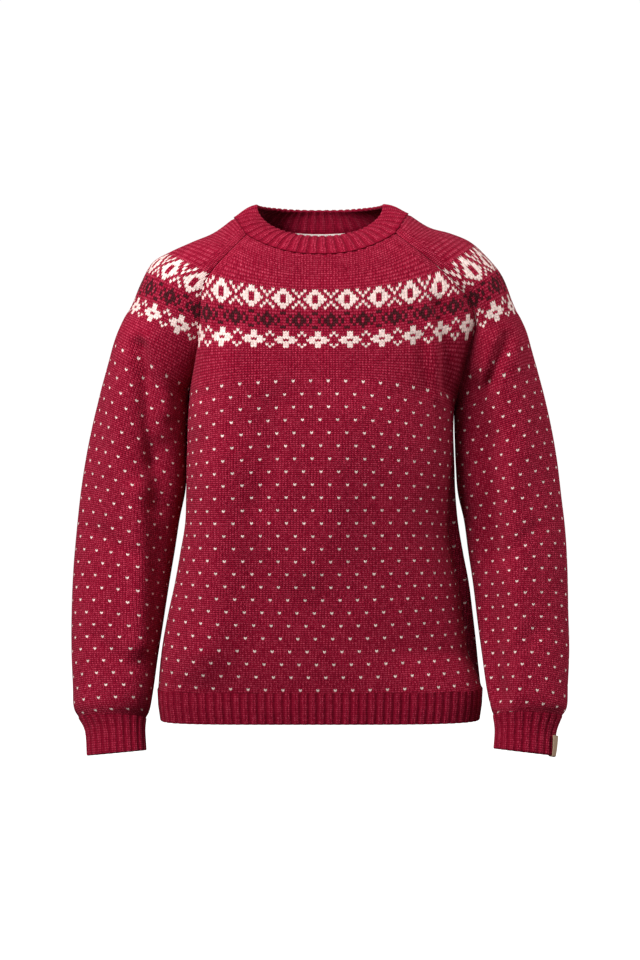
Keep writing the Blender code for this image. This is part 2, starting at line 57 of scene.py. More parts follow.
YOKE_COLUMNS = ("outer_x", "outer_y", "outer_z", "front_x", "front_z", "back_x", "back_z",
                "front_depth", "back_depth", "front_turn", "back_turn")
YOKE_RIGHT = (
    (111, 5, 11, 94, -17, 82, 14, 71, 68, 72, 72),
    (138, 5, -9, 106, -30, 93, -2, 78, 73, 78, 76),
    (166, 5, -21, 118, -43, 106, -24, 83, 76, 83, 80),
    (195, 5, -34, 137, -65, 120, -50, 85, 77, 89, 85),
    (218, 4, -48, 149, -87, 132, -79, 84, 76, 97, 92),
    (233, 4, -75, 152, -115, 141, -107, 82, 74, 106, 100),
    (245, 3, -104, 154, -143, 148, -135, 79, 72, 116, 110),
    (254, 2, -119, 158, -168, 155, -163, 75, 70, 127, 122),
    (262, 1, -137, 163, -193, 162, -190, 69, 67, 139, 136),
    (268, 0, -154, 167, -214, 167, -214, 65, 64, 156, 156),
    (273, 0, -172, 169, -232, 169, -232, 62, 61, 180, 180),
)
YOKE_LEFT = (
    (114, 5, 16, 96, -15, 83, 14, 71, 68, 72, 72),
    (142, 5, -2, 110, -27, 95, -2, 78, 73, 78, 76),
    (170, 5, -10, 126, -40, 108, -24, 82, 76, 84, 80),
    (197, 5, -22, 150, -60, 122, -50, 82, 77, 92, 85),
    (222, 4, -46, 173, -82, 134, -79, 79, 76, 102, 92),
    (238, 4, -68, 190, -102, 144, -107, 74, 74, 112, 100),
    (252, 3, -104, 199, -127, 152, -135, 70, 72, 121, 110),
    (261, 2, -121, 192, -160, 159, -163, 68, 70, 131, 122),
    (268, 1, -137, 184, -193, 166, -190, 64, 67, 142, 136),
    (274, 0, -158, 178, -219, 172, -219, 62, 63, 158, 156),
    (281, 0, -182, 174, -240, 174, -240, 60, 60, 180, 180),
)
ARM_COLUMNS = ("outer_x", "outer_z", "inner_x", "inner_z", "middle_y", "front_depth",
               "back_depth", "pitch")
ARM_RIGHT = (
    (273, -172, 169, -232, 0, 62, 61, 0),
    (284, -212, 171.5, -268, -1, 61, 59, 0),
    (294, -252, 173, -304, -2, 59, 57, 0),
    (303, -296, 174.5, -342, -3, 57, 55, 0),
    (310, -342, 182, -380, -5, 55, 53, 2),
    (315, -390, 188, -420, -8, 53, 52, 4),
    (319, -445, 195, -464, -15, 51, 50, 7),
    (320, -500, 202, -513, -25, 48, 47, 10),
    (319, -549, 208, -556, -37, 45, 44, 13),
    (316, -593, 213, -597, -49, 42, 41, 15),
    (314, -620, 217, -622, -57, 39, 38, 15),
    (307, -633, 222, -633, -60, 34, 33, 14),
)
ARM_LEFT = (
    (281, -182, 174, -240, 0, 60, 60, 0),
    (292, -223, 175, -276, 1, 59, 59, 0),
    (301, -264, 176.4, -312, 0, 58, 57, 0),
    (308, -306, 179, -347, -2, 56, 55, 0),
    (313, -350, 187, -383, -4, 55, 53, 2),
    (318, -397, 192, -422, -8, 53, 52, 4),
    (320, -447, 198, -465, -15, 51, 50, 7),
    (320, -500, 203, -512, -25, 48, 47, 10),
    (320, -549, 208, -555, -37, 45, 44, 13),
    (317, -593, 213, -596, -49, 42, 41, 15),
    (315, -619, 218, -620, -57, 39, 38, 15),
    (308, -631, 221, -629, -60, 34, 33, 14),
)

# Which course of knitting lies where: course 0 is the first of the diamonds, and the yoke has the
# same course at each row of the tables above, so that its pattern meets at the raglan seams.
# Below the underarm the courses are counted down the middle of the piece.
YOKE_COURSES = (-17, -11, -5.5, -1, 3.5, 10.5, 18.5, 25, 31, 36.5, 42)
ARM_ROW_HEIGHT = 2.8

# How many more courses a sleeve has at its raglan or underarm line than at the top of the arm,
# at some of the places: 0 at the neck seam, 10 at the underarm, then one to a ring.
SLEEVE_SLANT = {
    "right": ((0, 0), (10, 0), (12, 3), (14, 5), (17, 1), (21, 4)),
    "left": ((0, 0), (6, 0), (10, 7), (13, 7), (15, 6), (21, 5)),
}

# Soft folds: how far a crest stands out (a trough is negative), its half width, and the points
# it runs through as the front view shows them.
FOLD_COLUMNS = ("piece", "rise", "half_width", "path")
FOLDS = (
    # the bodice hangs from the chest in one broad flat plane that turns away low on the left
    ("front", 10, 28, ((-112, -170), (-122, -260), (-122, -420), (-127, -510), (-146, -570))),
    ("front", -5, 20, ((-58, -235), (-62, -305), (-78, -360))),
    ("front", 6, 34, ((38, -250), (24, -350), (-10, -440))),
    ("front", -16, 90, ((180, -420), (165, -540))),
    # dragged in under both arms
    ("front", -9, 11, ((150, -112), (160, -160), (163, -215))),
    ("front", 5, 9, ((138, -120), (146, -170), (148, -225))),
    ("front", -4, 9, ((128, -150), (134, -215))),
    ("front", 3, 12, ((-138, -120), (-148, -190), (-152, -260))),
    # right sleeve: a crest near its inner side, and a fold that fades out below the armhole
    ("sleeve_right", 5, 20, ((-246, -150), (-252, -203), (-258, -254), (-254, -310), (-236, -356),
                             (-235, -450), (-237, -600))),
    ("sleeve_right", 10, 14, ((-231, -345), (-231, -450), (-233, -540))),
    ("sleeve_right", 5, 9, ((-218, -150), (-198, -203), (-197, -245))),
    ("sleeve_right", -10, 9, ((-229, -160), (-224, -203), (-220, -254), (-213, -310))),
    ("sleeve_right", -8, 13, ((-205, -290), (-208, -360))),
    ("sleeve_right", -4, 24, ((-288, -250), (-292, -350), (-292, -450))),
    ("sleeve_right", -3, 9, ((-240, -425), (-285, -395))),
    ("sleeve_right", -3, 9, ((-240, -565), (-285, -530))),
    # left sleeve: set back beside the body, with its drag lines running the other way
    ("sleeve_left", 5, 18, ((251, -152), (238, -203), (254, -254), (255, -305), (249, -355),
                            (254, -406), (255, -508), (244, -560), (245, -600))),
    ("sleeve_left", 4, 8, ((223, -150), (207, -203))),
    ("sleeve_left", -6, 8, ((236, -150), (217, -205))),
    ("sleeve_left", -13, 25, ((203, -215), (208, -305), (214, -400), (218, -500), (222, -600))),
    ("sleeve_left", -6, 18, ((217, -280), (219, -420))),
    ("sleeve_left", -3, 9, ((235, -430), (275, -390))),
    ("sleeve_left", -3, 9, ((235, -560), (275, -520))),
    # behind
    ("back", -5, 24, ((-60, -250), (10, -330))),
    ("back", -4, 26, ((70, -420), (20, -500))),
    ("back", -8, 12, ((-158, -140), (-164, -215))),
    ("back", 4, 12, ((-136, -150), (-146, -235))),
    ("back", -8, 12, ((160, -140), (164, -215))),
    ("back", 4, 12, ((140, -150), (148, -240))),
    ("back", -3, 16, ((-130, -300), (-90, -400), (-100, -520))),
)


def smooth_table(table, steps):
    """The same table read at even steps along a smooth curve through its rows."""
    rows = np.array(table, float)
    last = len(rows) - 1
    padded = np.concatenate([2 * rows[:1] - rows[1:2], rows, 2 * rows[-1:] - rows[-2:-1]])
    read = []
    for place in np.linspace(0.0, last, steps + 1):
        index = min(int(place), last - 1)
        part = place - index
        before, here, there, after = padded[index:index + 4]
        read.append(0.5 * (2 * here + (there - before) * part
                           + (2 * before - 5 * here + 4 * there - after) * part ** 2
                           + (3 * here - before - 3 * there + after) * part ** 3))
    return read


def wales_to_seam(points, count):
    """The same curve in even steps that close up in the last few millimetres before its seam.
    Also gives the distance of each step from the start, and from the seam."""
    steps = np.linalg.norm(np.diff(points, axis=0), axis=1)
    along = np.concatenate([[0.0], np.cumsum(steps)])
    length = along[-1]
    wanted = np.concatenate([np.linspace(0.0, length - 7.0, count - 3),
                             length - np.array([4.4, 2.6, 1.2, 0.0])])
    curve = np.stack([np.interp(wanted, along, points[:, axis]) for axis in range(3)], axis=1)
    return curve, wanted, length - wanted


def half_arm_course(outer, seam_x, seam_z, depth, turn, pitch, forward):
    """Half a course of a sleeve, from the top of the arm to its seam or underarm line."""
    angle = np.radians(np.linspace(0.0, turn, 90))
    share = (1.0 - np.cos(angle)) / (1.0 - math.cos(math.radians(turn)))
    swing = depth * np.sin(angle)
    lean = math.radians(pitch)
    points = np.stack([
        outer[0] + (seam_x - outer[0]) * share,
        outer[1] + forward * swing * math.cos(lean),
        outer[2] + (seam_z - outer[2]) * share - forward * swing * math.sin(lean),
    ], axis=1)
    return wales_to_seam(points, SLEEVE_HALF_COLUMNS)


def join_halves(first, second):
    """Two half courses as one, from the seam of the first to the seam of the second. The
    stitches are counted from where they meet."""
    points = np.concatenate([first[0][::-1], second[0][1:]])
    stitches = np.concatenate([-first[1][::-1], second[1][1:]]) / STITCH_WIDTH
    to_seam = np.concatenate([first[2][::-1], second[2][1:]])
    return points, stitches, to_seam


def arm_ring(row, side):
    """The front and the back half of a course round the arm, from a row of an arm table."""
    v = dict(zip(ARM_COLUMNS, row))
    outer = (side * v["outer_x"], v["middle_y"], v["outer_z"])
    return [half_arm_course(outer, side * v["inner_x"], v["inner_z"], v[depth], 180.0, v["pitch"],
                            forward)
            for depth, forward in (("front_depth", -1.0), ("back_depth", 1.0))]


def join_arm(front, back, side):
    """Both halves of a course round the arm, in the order that turns the cloth outwards."""
    return join_halves(front, back) if side > 0 else join_halves(back, front)


def sleeve_panel(yoke_table, arm_table, side):
    """The outer face of a sleeve: its points, stitch numbers and distances from the raglan."""
    courses = []
    for row in smooth_table(yoke_table, YOKE_STEPS):
        v = dict(zip(YOKE_COLUMNS, row))
        outer = (side * v["outer_x"], v["outer_y"], v["outer_z"])
        front = half_arm_course(outer, side * v["front_x"], v["front_z"], v["front_depth"],
                                min(v["front_turn"], 180.0), 0.0, -1.0)
        back = half_arm_course(outer, side * v["back_x"], v["back_z"], v["back_depth"],
                               min(v["back_turn"], 180.0), 0.0, 1.0)
        courses.append((front, back))
    courses += [arm_ring(row, side) for row in
                smooth_table(arm_table, STEPS_TO_A_RING * (len(arm_table) - 1))[1:]]
    joined = [join_arm(front, back, side) for front, back in courses]
    rows_to_underarm = len(yoke_table) - 1
    places = np.concatenate([np.linspace(0, rows_to_underarm, YOKE_STEPS + 1),
                             rows_to_underarm + np.arange(1, len(joined) - YOKE_STEPS)
                             / STEPS_TO_A_RING])
    return {
        "grid": np.array([course[0] for course in joined]),
        "stitches": np.array([course[1] for course in joined]),
        "to_seam": np.array([course[2] for course in joined]),
        "places": places,
        "seam_rows": YOKE_STEPS + 1,
        "closed_from": YOKE_STEPS,
        "front_seam": np.array([front[0][-1] for front, back in courses]),
        "back_seam": np.array([back[0][-1] for front, back in courses]),
    }


def grid_normals(grid, closed_from=None):
    """Outward unit normals of a grid of courses; rows from closed_from on close on themselves."""
    along = np.empty_like(grid)
    along[:, 1:-1] = grid[:, 2:] - grid[:, :-2]
    along[:, 0] = grid[:, 1] - grid[:, 0]
    along[:, -1] = grid[:, -1] - grid[:, -2]
    if closed_from is not None:
        wrap = grid[closed_from:, 1] - grid[closed_from:, -2]
        along[closed_from:, 0] = wrap
        along[closed_from:, -1] = wrap
    down = np.empty_like(grid)
    down[1:-1] = grid[2:] - grid[:-2]
    down[0] = grid[1] - grid[0]
    down[-1] = grid[-1] - grid[-2]
    if closed_from is not None and closed_from > 0:
        down[closed_from, 0] = grid[closed_from + 1, 0] - grid[closed_from, 0]
        down[closed_from, -1] = down[closed_from, 0]
    normal = np.cross(down, along)
    return normal / np.linalg.norm(normal, axis=2, keepdims=True)


def distance_to_path(flat, path):
    """How far each front-view point is from a path of straight runs."""
    nearest = np.full(flat.shape[:2], 1e9)
    for start, end in zip(path, path[1:]):
        start, run = np.array(start, float), np.subtract(end, start).astype(float)
        share = np.clip(((flat - start) @ run) / (run @ run), 0.0, 1.0)
        nearest = np.minimum(nearest, np.linalg.norm(flat - start - share[..., None] * run,
                                                     axis=2))
    return nearest


def add_folds(name, panel):
    """Moves the points of a panel along their normals where a fold crosses them. A sleeve has
    the same folds behind, softer and a little lower, and they die out at its two sides."""
    grid = panel["grid"]
    normals = grid_normals(grid, panel["closed_from"])
    rise = np.zeros(grid.shape[:2])
    flat = grid[:, :, [0, 2]].copy()
    strength = np.ones(grid.shape[:2])
    if name.startswith("sleeve"):
        behind = np.clip(grid[:, :, 1] / 20.0, 0.0, 1.0)
        flat[:, :, 1] += 28.0 * behind
        strength = (1.0 - 0.35 * behind) * np.clip(1.7 * np.abs(normals[:, :, 1]), 0.0, 1.0)
    for row in FOLDS:
        fold = dict(zip(FOLD_COLUMNS, row))
        if fold["piece"] == name:
            away = distance_to_path(flat, fold["path"])
            rise += strength * fold["rise"] * np.exp(-(away / fold["half_width"]) ** 2)
    edge = np.minimum(panel["to_seam"] / 12.0, 1.0)
    ends = np.minimum(np.arange(len(grid)) / 4.0, np.arange(len(grid))[::-1] / 14.0)
    panel["grid"] = grid + normals * (rise * edge * np.minimum(ends, 1.0)[:, None])[..., None]
    panel["normals"] = grid_normals(panel["grid"], panel["closed_from"])


def roll_seams_in(panel, reach=2.2):
    """Draws the raglan edges back a little and turns them in, as linked edges lie. The seam
    shows as a groove from the neck to the diamonds and hardly below them. The neck edge is
    turned in under the collar."""
    rows = panel["seam_rows"]
    grid, normals = panel["grid"], panel["normals"]
    depth = np.interp(panel["places"][:rows], [0.0, 3.0, 5.0, 10.0], [1.0, 0.8, 0.15, 0.15])
    turned = depth[:, None] * np.exp(-(panel["to_seam"][:rows] / reach) ** 2)
    turned[0] = np.maximum(turned[0], 1.2)
    moved = grid[:rows] - normals[:rows] * turned[..., None]
    for edge, inside in ((0, 1), (-1, -2)):
        run = grid[:rows, inside] - grid[:rows, edge]
        run /= np.linalg.norm(run, axis=1, keepdims=True)
        moved[:, edge] += run * SEAM_GAP / 2
    panel["grid"] = np.concatenate([moved, grid[rows:]])


def cloth_mesh(name, points, faces, uvs, material):
    """A named piece of cloth from points in millimetres, with its stitch numbers as a UV map."""
    mesh = bpy.data.meshes.new(name)
    used = np.unique(faces)
    renumber = np.zeros(used[-1] + 1, int)
    renumber[used] = np.arange(len(used))
    mesh.from_pydata((points[used] * 0.001).tolist(), [], renumber[faces].tolist())
    mesh.materials.append(material)
    for map_name, values in uvs.items():
        layer = mesh.uv_layers.new(name=map_name)
        layer.data.foreach_set("uv", values.reshape(-1).astype(np.float32))
    mesh.shade_smooth()
    mesh.set_sharp_from_angle(angle=math.radians(50.0))
    made = bpy.data.objects.new(name, mesh)
    bpy.context.collection.objects.link(made)
    return made


def knit_wall(name, panel, wall, material):
    """The wall of a knitted panel: its outer face, the same face turned round inside, and a
    strip along each edge."""
    grid, normals = panel["grid"], panel["normals"]
    rows, columns = grid.shape[:2]
    own = np.arange(rows * columns).reshape(rows, columns)
    joined = own.copy()
    if panel["closed_from"] is not None:
        joined[panel["closed_from"]:, -1] = joined[panel["closed_from"]:, 0]

    def quads(numbers):
        return np.stack([numbers[:-1, :-1], numbers[1:, :-1], numbers[1:, 1:],
                         numbers[:-1, 1:]], axis=-1).reshape(-1, 4)

    faces, corners = quads(joined), quads(own)
    edges = {}
    for face, corner in zip(faces.tolist(), corners.tolist()):
        for k in range(4):
            edges[face[k], face[k - 3]] = (corner[k], corner[k - 3])
    rim, rim_corners = [], []
    count = rows * columns
    for (first, second), (a, b) in edges.items():
        if (second, first) not in edges:
            rim.append([second, first, first + count, second + count])
            rim_corners.append([b, a, a, b])
    points = np.concatenate([grid.reshape(-1, 3), (grid - normals * wall).reshape(-1, 3)])
    all_faces = np.concatenate([faces, faces[:, ::-1] + count, np.array(rim)])
    all_corners = np.concatenate([corners, corners[:, ::-1], np.array(rim_corners)])
    uvs = {key: panel[key].reshape(-1, 2)[all_corners] for key in ("knit", "raglan")}
    return cloth_mesh(name, points, all_faces, uvs, material)


def count_stitches(panel, row_height, slant, bow):
    """Stitch and course numbers over a panel, and those of the wales along its raglan seams.
    slant and bow are the courses added towards the sides, evenly or mostly at their ends."""
    middle = panel["grid"][:, np.argmin(np.abs(panel["stitches"][-1]))]
    down = np.cumsum(np.linalg.norm(np.diff(middle[YOKE_STEPS:], axis=0), axis=1)) / row_height
    yoke = np.interp(panel["places"][:YOKE_STEPS + 1], np.arange(len(YOKE_COURSES)), YOKE_COURSES)
    course = np.concatenate([yoke, yoke[-1] + down])[:, None]
    widest = np.where(panel["stitches"] < 0, -panel["stitches"][:, :1], panel["stitches"][:, -1:])
    across = np.abs(panel["stitches"] / widest)
    for table, power in ((slant, 1), (bow, 2)):
        place, courses = np.array(table, float).T
        course = course + np.interp(panel["places"], place, courses)[:, None] * across ** power
    panel["knit"] = np.stack([panel["stitches"], course], -1)
    seam_run = np.linalg.norm(np.diff(panel["grid"][:, 0], axis=0), axis=1)
    along = np.concatenate([[0.0], np.cumsum(seam_run)]) / ROW_HEIGHT
    from_seam = panel["to_seam"] / STITCH_WIDTH
    from_seam[panel["seam_rows"]:] = 99.0
    panel["raglan"] = np.stack([from_seam, np.repeat(along[:, None], from_seam.shape[1], 1)], -1)


def link_math(tree, operation, *values):
    """A math node fed with sockets or plain numbers."""
    node = tree.nodes.new("ShaderNodeMath")
    node.operation = operation
    for socket, value in zip(node.inputs, values):
        if isinstance(value, bpy.types.NodeSocket):
            tree.links.new(value, socket)
        else:
            socket.default_value = value
    return node.outputs[0]


def new_group(name, inputs, outputs):
    """An empty shader node group with named sockets, and its two end nodes."""
    tree = bpy.data.node_groups.new(name, "ShaderNodeTree")
    for socket, kind in inputs:
        tree.interface.new_socket(socket, in_out="INPUT", socket_type=kind)
    for socket, kind in outputs:
        tree.interface.new_socket(socket, in_out="OUTPUT", socket_type=kind)
    return tree, tree.nodes.new("NodeGroupInput"), tree.nodes.new("NodeGroupOutput")


def split_vector(tree, vector):
    """The X, Y and Z of a vector as sockets."""
    node = tree.nodes.new("ShaderNodeSeparateXYZ")
    tree.links.new(vector, node.inputs[0])
    return node.outputs


def new_material(name):
    """A material with its node tree and its shader."""
    material = bpy.data.materials.new(name)
    material.use_nodes = True
    return material, material.node_tree, material.node_tree.nodes["Principled BSDF"]


# One knit stitch after another: the two legs of each V, with the wale and course it is in.
stitch_group, given, out = new_group(
    "knit stitches", [("Stitch", "NodeSocketVector")],
    [("Height", "NodeSocketFloat"), ("Leg", "NodeSocketFloat"), ("Wale", "NodeSocketFloat"),
     ("Course", "NodeSocketFloat")])
knit = partial(link_math, stitch_group)
parts = split_vector(stitch_group, given.outputs["Stitch"])
across = knit("FRACT", parts["X"])
from_middle = knit("ABSOLUTE", knit("MULTIPLY_ADD", across, 2.0, -1.0))
slanted = knit("ADD", parts["Y"], knit("MULTIPLY_ADD", from_middle, 0.5, -0.25))
leg = knit("ABSOLUTE", knit("SINE", knit("MULTIPLY", across, 2 * math.pi)))
leg = knit("MULTIPLY_ADD", leg, 0.75, 0.25)
rounding = knit("POWER", knit("SINE", knit("MULTIPLY", across, math.pi)), 0.6)
leg = knit("MULTIPLY", leg, rounding)
loop = knit("POWER", knit("SINE", knit("MULTIPLY", knit("FRACT", slanted), math.pi)), 1.2)
height = knit("MULTIPLY", leg, knit("MULTIPLY_ADD", loop, 0.85, 0.2))
stitch_group.links.new(height, out.inputs["Height"])
stitch_group.links.new(knit("FLOOR", knit("MULTIPLY", parts["X"], 2.0)), out.inputs["Leg"])
stitch_group.links.new(knit("FLOOR", parts["X"]), out.inputs["Wale"])
stitch_group.links.new(knit("FLOOR", slanted), out.inputs["Course"])

# The yoke's chart, eleven stitches wide: diamonds and crosses, small dark roses, and flowers.
# Below it one light stitch is knitted in every sixth stitch of every sixth course.
CHART = (
    "X..XX..X...",
    "..XXXX..X.X",
    ".XX..XX..X.",
    "XXX..XXX...",
    ".XX..XX..X.",
    "..XXXX..X.X",
    "X..XX..X...",
    "...........",
    "...XX....X.",
    ".X....X.XXX",
    "X.X..X.XX.X",
    "X.X..X.XX.X",
    ".X....X.XXX",
    "...XX....X.",
    "...........",
    "....XX....X",
    "X...XX...X.",
    "..XXXXXX...",
    ".XXX..XXX..",
    "..XXXXXX...",
    "X...XX...X.",
    "....XX....X",
)
DARK_ROWS = (8, 13)
FIRST_DOTTED_COURSE = 36
COURSES_TO_A_DOT = 6
STITCHES_TO_A_DOT = 6

chart_group, given, out = new_group(
    "yoke chart", [("Wale", "NodeSocketFloat"), ("Course", "NodeSocketFloat")],
    [("Cream", "NodeSocketFloat"), ("Brown", "NodeSocketFloat")])
chart = partial(link_math, chart_group)
wale, course = given.outputs["Wale"], given.outputs["Course"]
ramp = chart_group.nodes.new("ShaderNodeValToRGB")
ramp.color_ramp.interpolation = "CONSTANT"
for line, stitches in enumerate(CHART):
    knitted = sum(2 ** place for place, mark in enumerate(stitches) if mark == "X")
    stop = ramp.color_ramp.elements[0] if line == 0 else ramp.color_ramp.elements.new(line / 32)
    stop.position = line / 32
    stop.color = (knitted / 2048, knitted / 2048, knitted / 2048, 1.0)
ramp.color_ramp.elements[-1].position = 1.0
last = ramp.color_ramp.elements.new(len(CHART) / 32)
last.color = (0.0, 0.0, 0.0, 1.0)
ramp.color_ramp.elements[-1].color = (0.0, 0.0, 0.0, 1.0)
chart_group.links.new(chart("MULTIPLY_ADD", course, 1 / 32, 0.5 / 32),
                      ramp.inputs["Fac"])
row_code = chart("MULTIPLY_ADD", ramp.outputs["Color"], 2048.0, 0.5)
chart_place = chart("FLOORED_MODULO", chart("ADD", wale, 5.0), 11.0)
shifted = chart("FLOOR", chart("DIVIDE", row_code, chart("POWER", 2.0, chart_place)))
marked = chart("FLOORED_MODULO", shifted, 2.0)
in_chart = chart("COMPARE", course, (len(CHART) - 1) / 2, len(CHART) / 2)
marked = chart("MULTIPLY", marked, in_chart)
dark = chart("COMPARE", course, sum(DARK_ROWS) / 2, 3.0)
brown = chart("MULTIPLY", marked, dark)
below = chart("SUBTRACT", course, float(FIRST_DOTTED_COURSE))
dot_number = chart("DIVIDE", below, float(COURSES_TO_A_DOT))
in_six = chart("FLOORED_MODULO", chart("ADD", below, 0.25), float(COURSES_TO_A_DOT))
dotted = chart("LESS_THAN", in_six, 0.8)
dotted = chart("MULTIPLY", dotted, chart("GREATER_THAN", below, -0.5))
brick = chart("FLOORED_MODULO", chart("FLOOR", chart("ADD", dot_number, 0.1)), 2.0)
brick = chart("MULTIPLY", brick, 3.0)
in_six = chart("ADD", chart("ADD", wale, 3.25), brick)
dot_wale = chart("LESS_THAN", chart("FLOORED_MODULO", in_six, float(STITCHES_TO_A_DOT)), 0.8)
dot = chart("MULTIPLY", dotted, dot_wale)
cream = chart("ADD", chart("SUBTRACT", marked, brown), dot)
chart_group.links.new(cream, out.inputs["Cream"])
chart_group.links.new(brown, out.inputs["Brown"])

# Wool colour: the dye drifts a little over the cloth and differs from one leg of a stitch to the
# next; painted shade darkens it between the stitches, and a paler painted highlight lies on their
# tops.
wool_and_light_group, given, out = new_group(
    "wool colour and painted light", [("Colour", "NodeSocketColor"), ("Height", "NodeSocketFloat"),
                  ("Leg", "NodeSocketFloat"), ("Course", "NodeSocketFloat")],
    [("Colour", "NodeSocketColor"), ("Roughness", "NodeSocketFloat")])
wool_math = partial(link_math, wool_and_light_group)
place = wool_and_light_group.nodes.new("ShaderNodeTexCoord")
drift = wool_and_light_group.nodes.new("ShaderNodeTexNoise")
drift.inputs["Scale"].default_value = 22.0
drift.inputs["Detail"].default_value = 4.0
fibre = wool_and_light_group.nodes.new("ShaderNodeTexNoise")
fibre.inputs["Scale"].default_value = 900.0
for noise in (drift, fibre):
    wool_and_light_group.links.new(place.outputs["Object"], noise.inputs["Vector"])
which = wool_and_light_group.nodes.new("ShaderNodeCombineXYZ")
wool_and_light_group.links.new(given.outputs["Leg"], which.inputs["X"])
wool_and_light_group.links.new(given.outputs["Course"], which.inputs["Y"])
yarn = wool_and_light_group.nodes.new("ShaderNodeTexWhiteNoise")
yarn.noise_dimensions = "2D"
wool_and_light_group.links.new(which.outputs["Vector"], yarn.inputs["Vector"])
# Painted shade: the colour is darker where the stitch height is low, between the stitches.
gap_shade_and_tone = wool_math("MULTIPLY_ADD", given.outputs["Height"], 1.15, 0.42)
for source, spread in ((drift.outputs["Fac"], 0.22), (fibre.outputs["Fac"], 1.2),
                       (yarn.outputs["Value"], 0.3)):
    gap_shade_and_tone = wool_math("MULTIPLY", gap_shade_and_tone, wool_math("MULTIPLY_ADD", source, spread, 1.0 - spread / 2))
toned_and_gap_shaded = wool_and_light_group.nodes.new("ShaderNodeVectorMath")
toned_and_gap_shaded.operation = "SCALE"
wool_and_light_group.links.new(given.outputs["Colour"], toned_and_gap_shaded.inputs[0])
wool_and_light_group.links.new(gap_shade_and_tone, toned_and_gap_shaded.inputs["Scale"])
# Painted highlight: a paler colour added on the highest parts of the stitches.
painted_highlight = wool_math("POWER", given.outputs["Height"], 3.0)
for source, spread in ((fibre.outputs["Fac"], 4.0), (yarn.outputs["Value"], 1.8)):
    varied = wool_math("MAXIMUM", wool_math("MULTIPLY_ADD", source, spread, 1.0 - spread / 2), 0.0)
    painted_highlight = wool_math("MULTIPLY", painted_highlight, varied)
dye = wool_and_light_group.nodes.new("ShaderNodeSeparateColor")
wool_and_light_group.links.new(given.outputs["Colour"], dye.inputs["Color"])
pale = wool_math("MINIMUM", wool_math("MULTIPLY", dye.outputs["Red"], 2.7), 1.0)
painted_highlight = wool_math("MULTIPLY", painted_highlight, pale)
painted_fibre_highlight = wool_and_light_group.nodes.new("ShaderNodeVectorMath")
painted_fibre_highlight.operation = "MULTIPLY_ADD"
painted_fibre_highlight.inputs[1].default_value = (0.16, 0.078, 0.102)
wool_and_light_group.links.new(painted_highlight, painted_fibre_highlight.inputs[0])
wool_and_light_group.links.new(toned_and_gap_shaded.outputs["Vector"], painted_fibre_highlight.inputs[2])
wool_and_light_group.links.new(painted_fibre_highlight.outputs["Vector"], out.inputs["Colour"])
wool_and_light_group.links.new(wool_math("MULTIPLY_ADD", fibre.outputs["Fac"], 0.1, 0.85),
                     out.inputs["Roughness"])

CRIMSON = (0.37, 0.0015, 0.029, 1.0)
CREAM = (0.80, 0.61, 0.56, 1.0)
DARK_BROWN = (0.065, 0.008, 0.012, 1.0)
MARK_WALE = 3
COURSES_TO_A_MARK = 6.3


def mixed(tree, factor, first, second):
    """A colour mix of two sockets or plain colours."""
    node = tree.nodes.new("ShaderNodeMix")
    node.data_type = "RGBA"
    tree.links.new(factor, node.inputs["Factor"])
    for socket, value in zip((node.inputs[6], node.inputs[7]), (first, second)):
        if isinstance(value, bpy.types.NodeSocket):
            tree.links.new(value, socket)
        else:
            socket.default_value = value
    return node.outputs[2]


def use_group(tree, group, **given):
    """A node group in a material, with the sockets that feed it."""
    node = tree.nodes.new("ShaderNodeGroup")
    node.node_tree = group
    for socket, value in given.items():
        if isinstance(value, bpy.types.NodeSocket):
            tree.links.new(value, node.inputs[socket])
        else:
            node.inputs[socket].default_value = value
    return node.outputs


def stitch_map(tree, map_name):
    """A piece's stitch and course numbers as a vector."""
    node = tree.nodes.new("ShaderNodeUVMap")
    node.uv_map = map_name
    return node.outputs["UV"]


def add_relief(tree, shader, height, depth):
    """A low relief on a shader, its depth in metres."""
    bump = tree.nodes.new("ShaderNodeBump")
    bump.inputs["Distance"].default_value = depth
    tree.links.new(height, bump.inputs["Height"])
    tree.links.new(bump.outputs["Normal"], shader.inputs["Normal"])


def finish_wool(tree, shader, height, leg, course, colour, relief):
    """Wool colour on a stitch height, with painted shade between the stitches and a painted
    highlight on their tops, its relief and a short soft fuzz.
    """
    shader.inputs["Sheen Weight"].default_value = 0.06
    shader.inputs["Sheen Roughness"].default_value = 0.4
    shader.inputs["Sheen Tint"].default_value = (0.85, 0.3, 0.38, 1.0)
    shader.inputs["Specular IOR Level"].default_value = 0.1
    wool = use_group(tree, wool_and_light_group, Colour=colour, Height=height, Leg=leg, Course=course)
    tree.links.new(wool["Colour"], shader.inputs["Base Color"])
    tree.links.new(wool["Roughness"], shader.inputs["Roughness"])
    add_relief(tree, shader, height, relief)


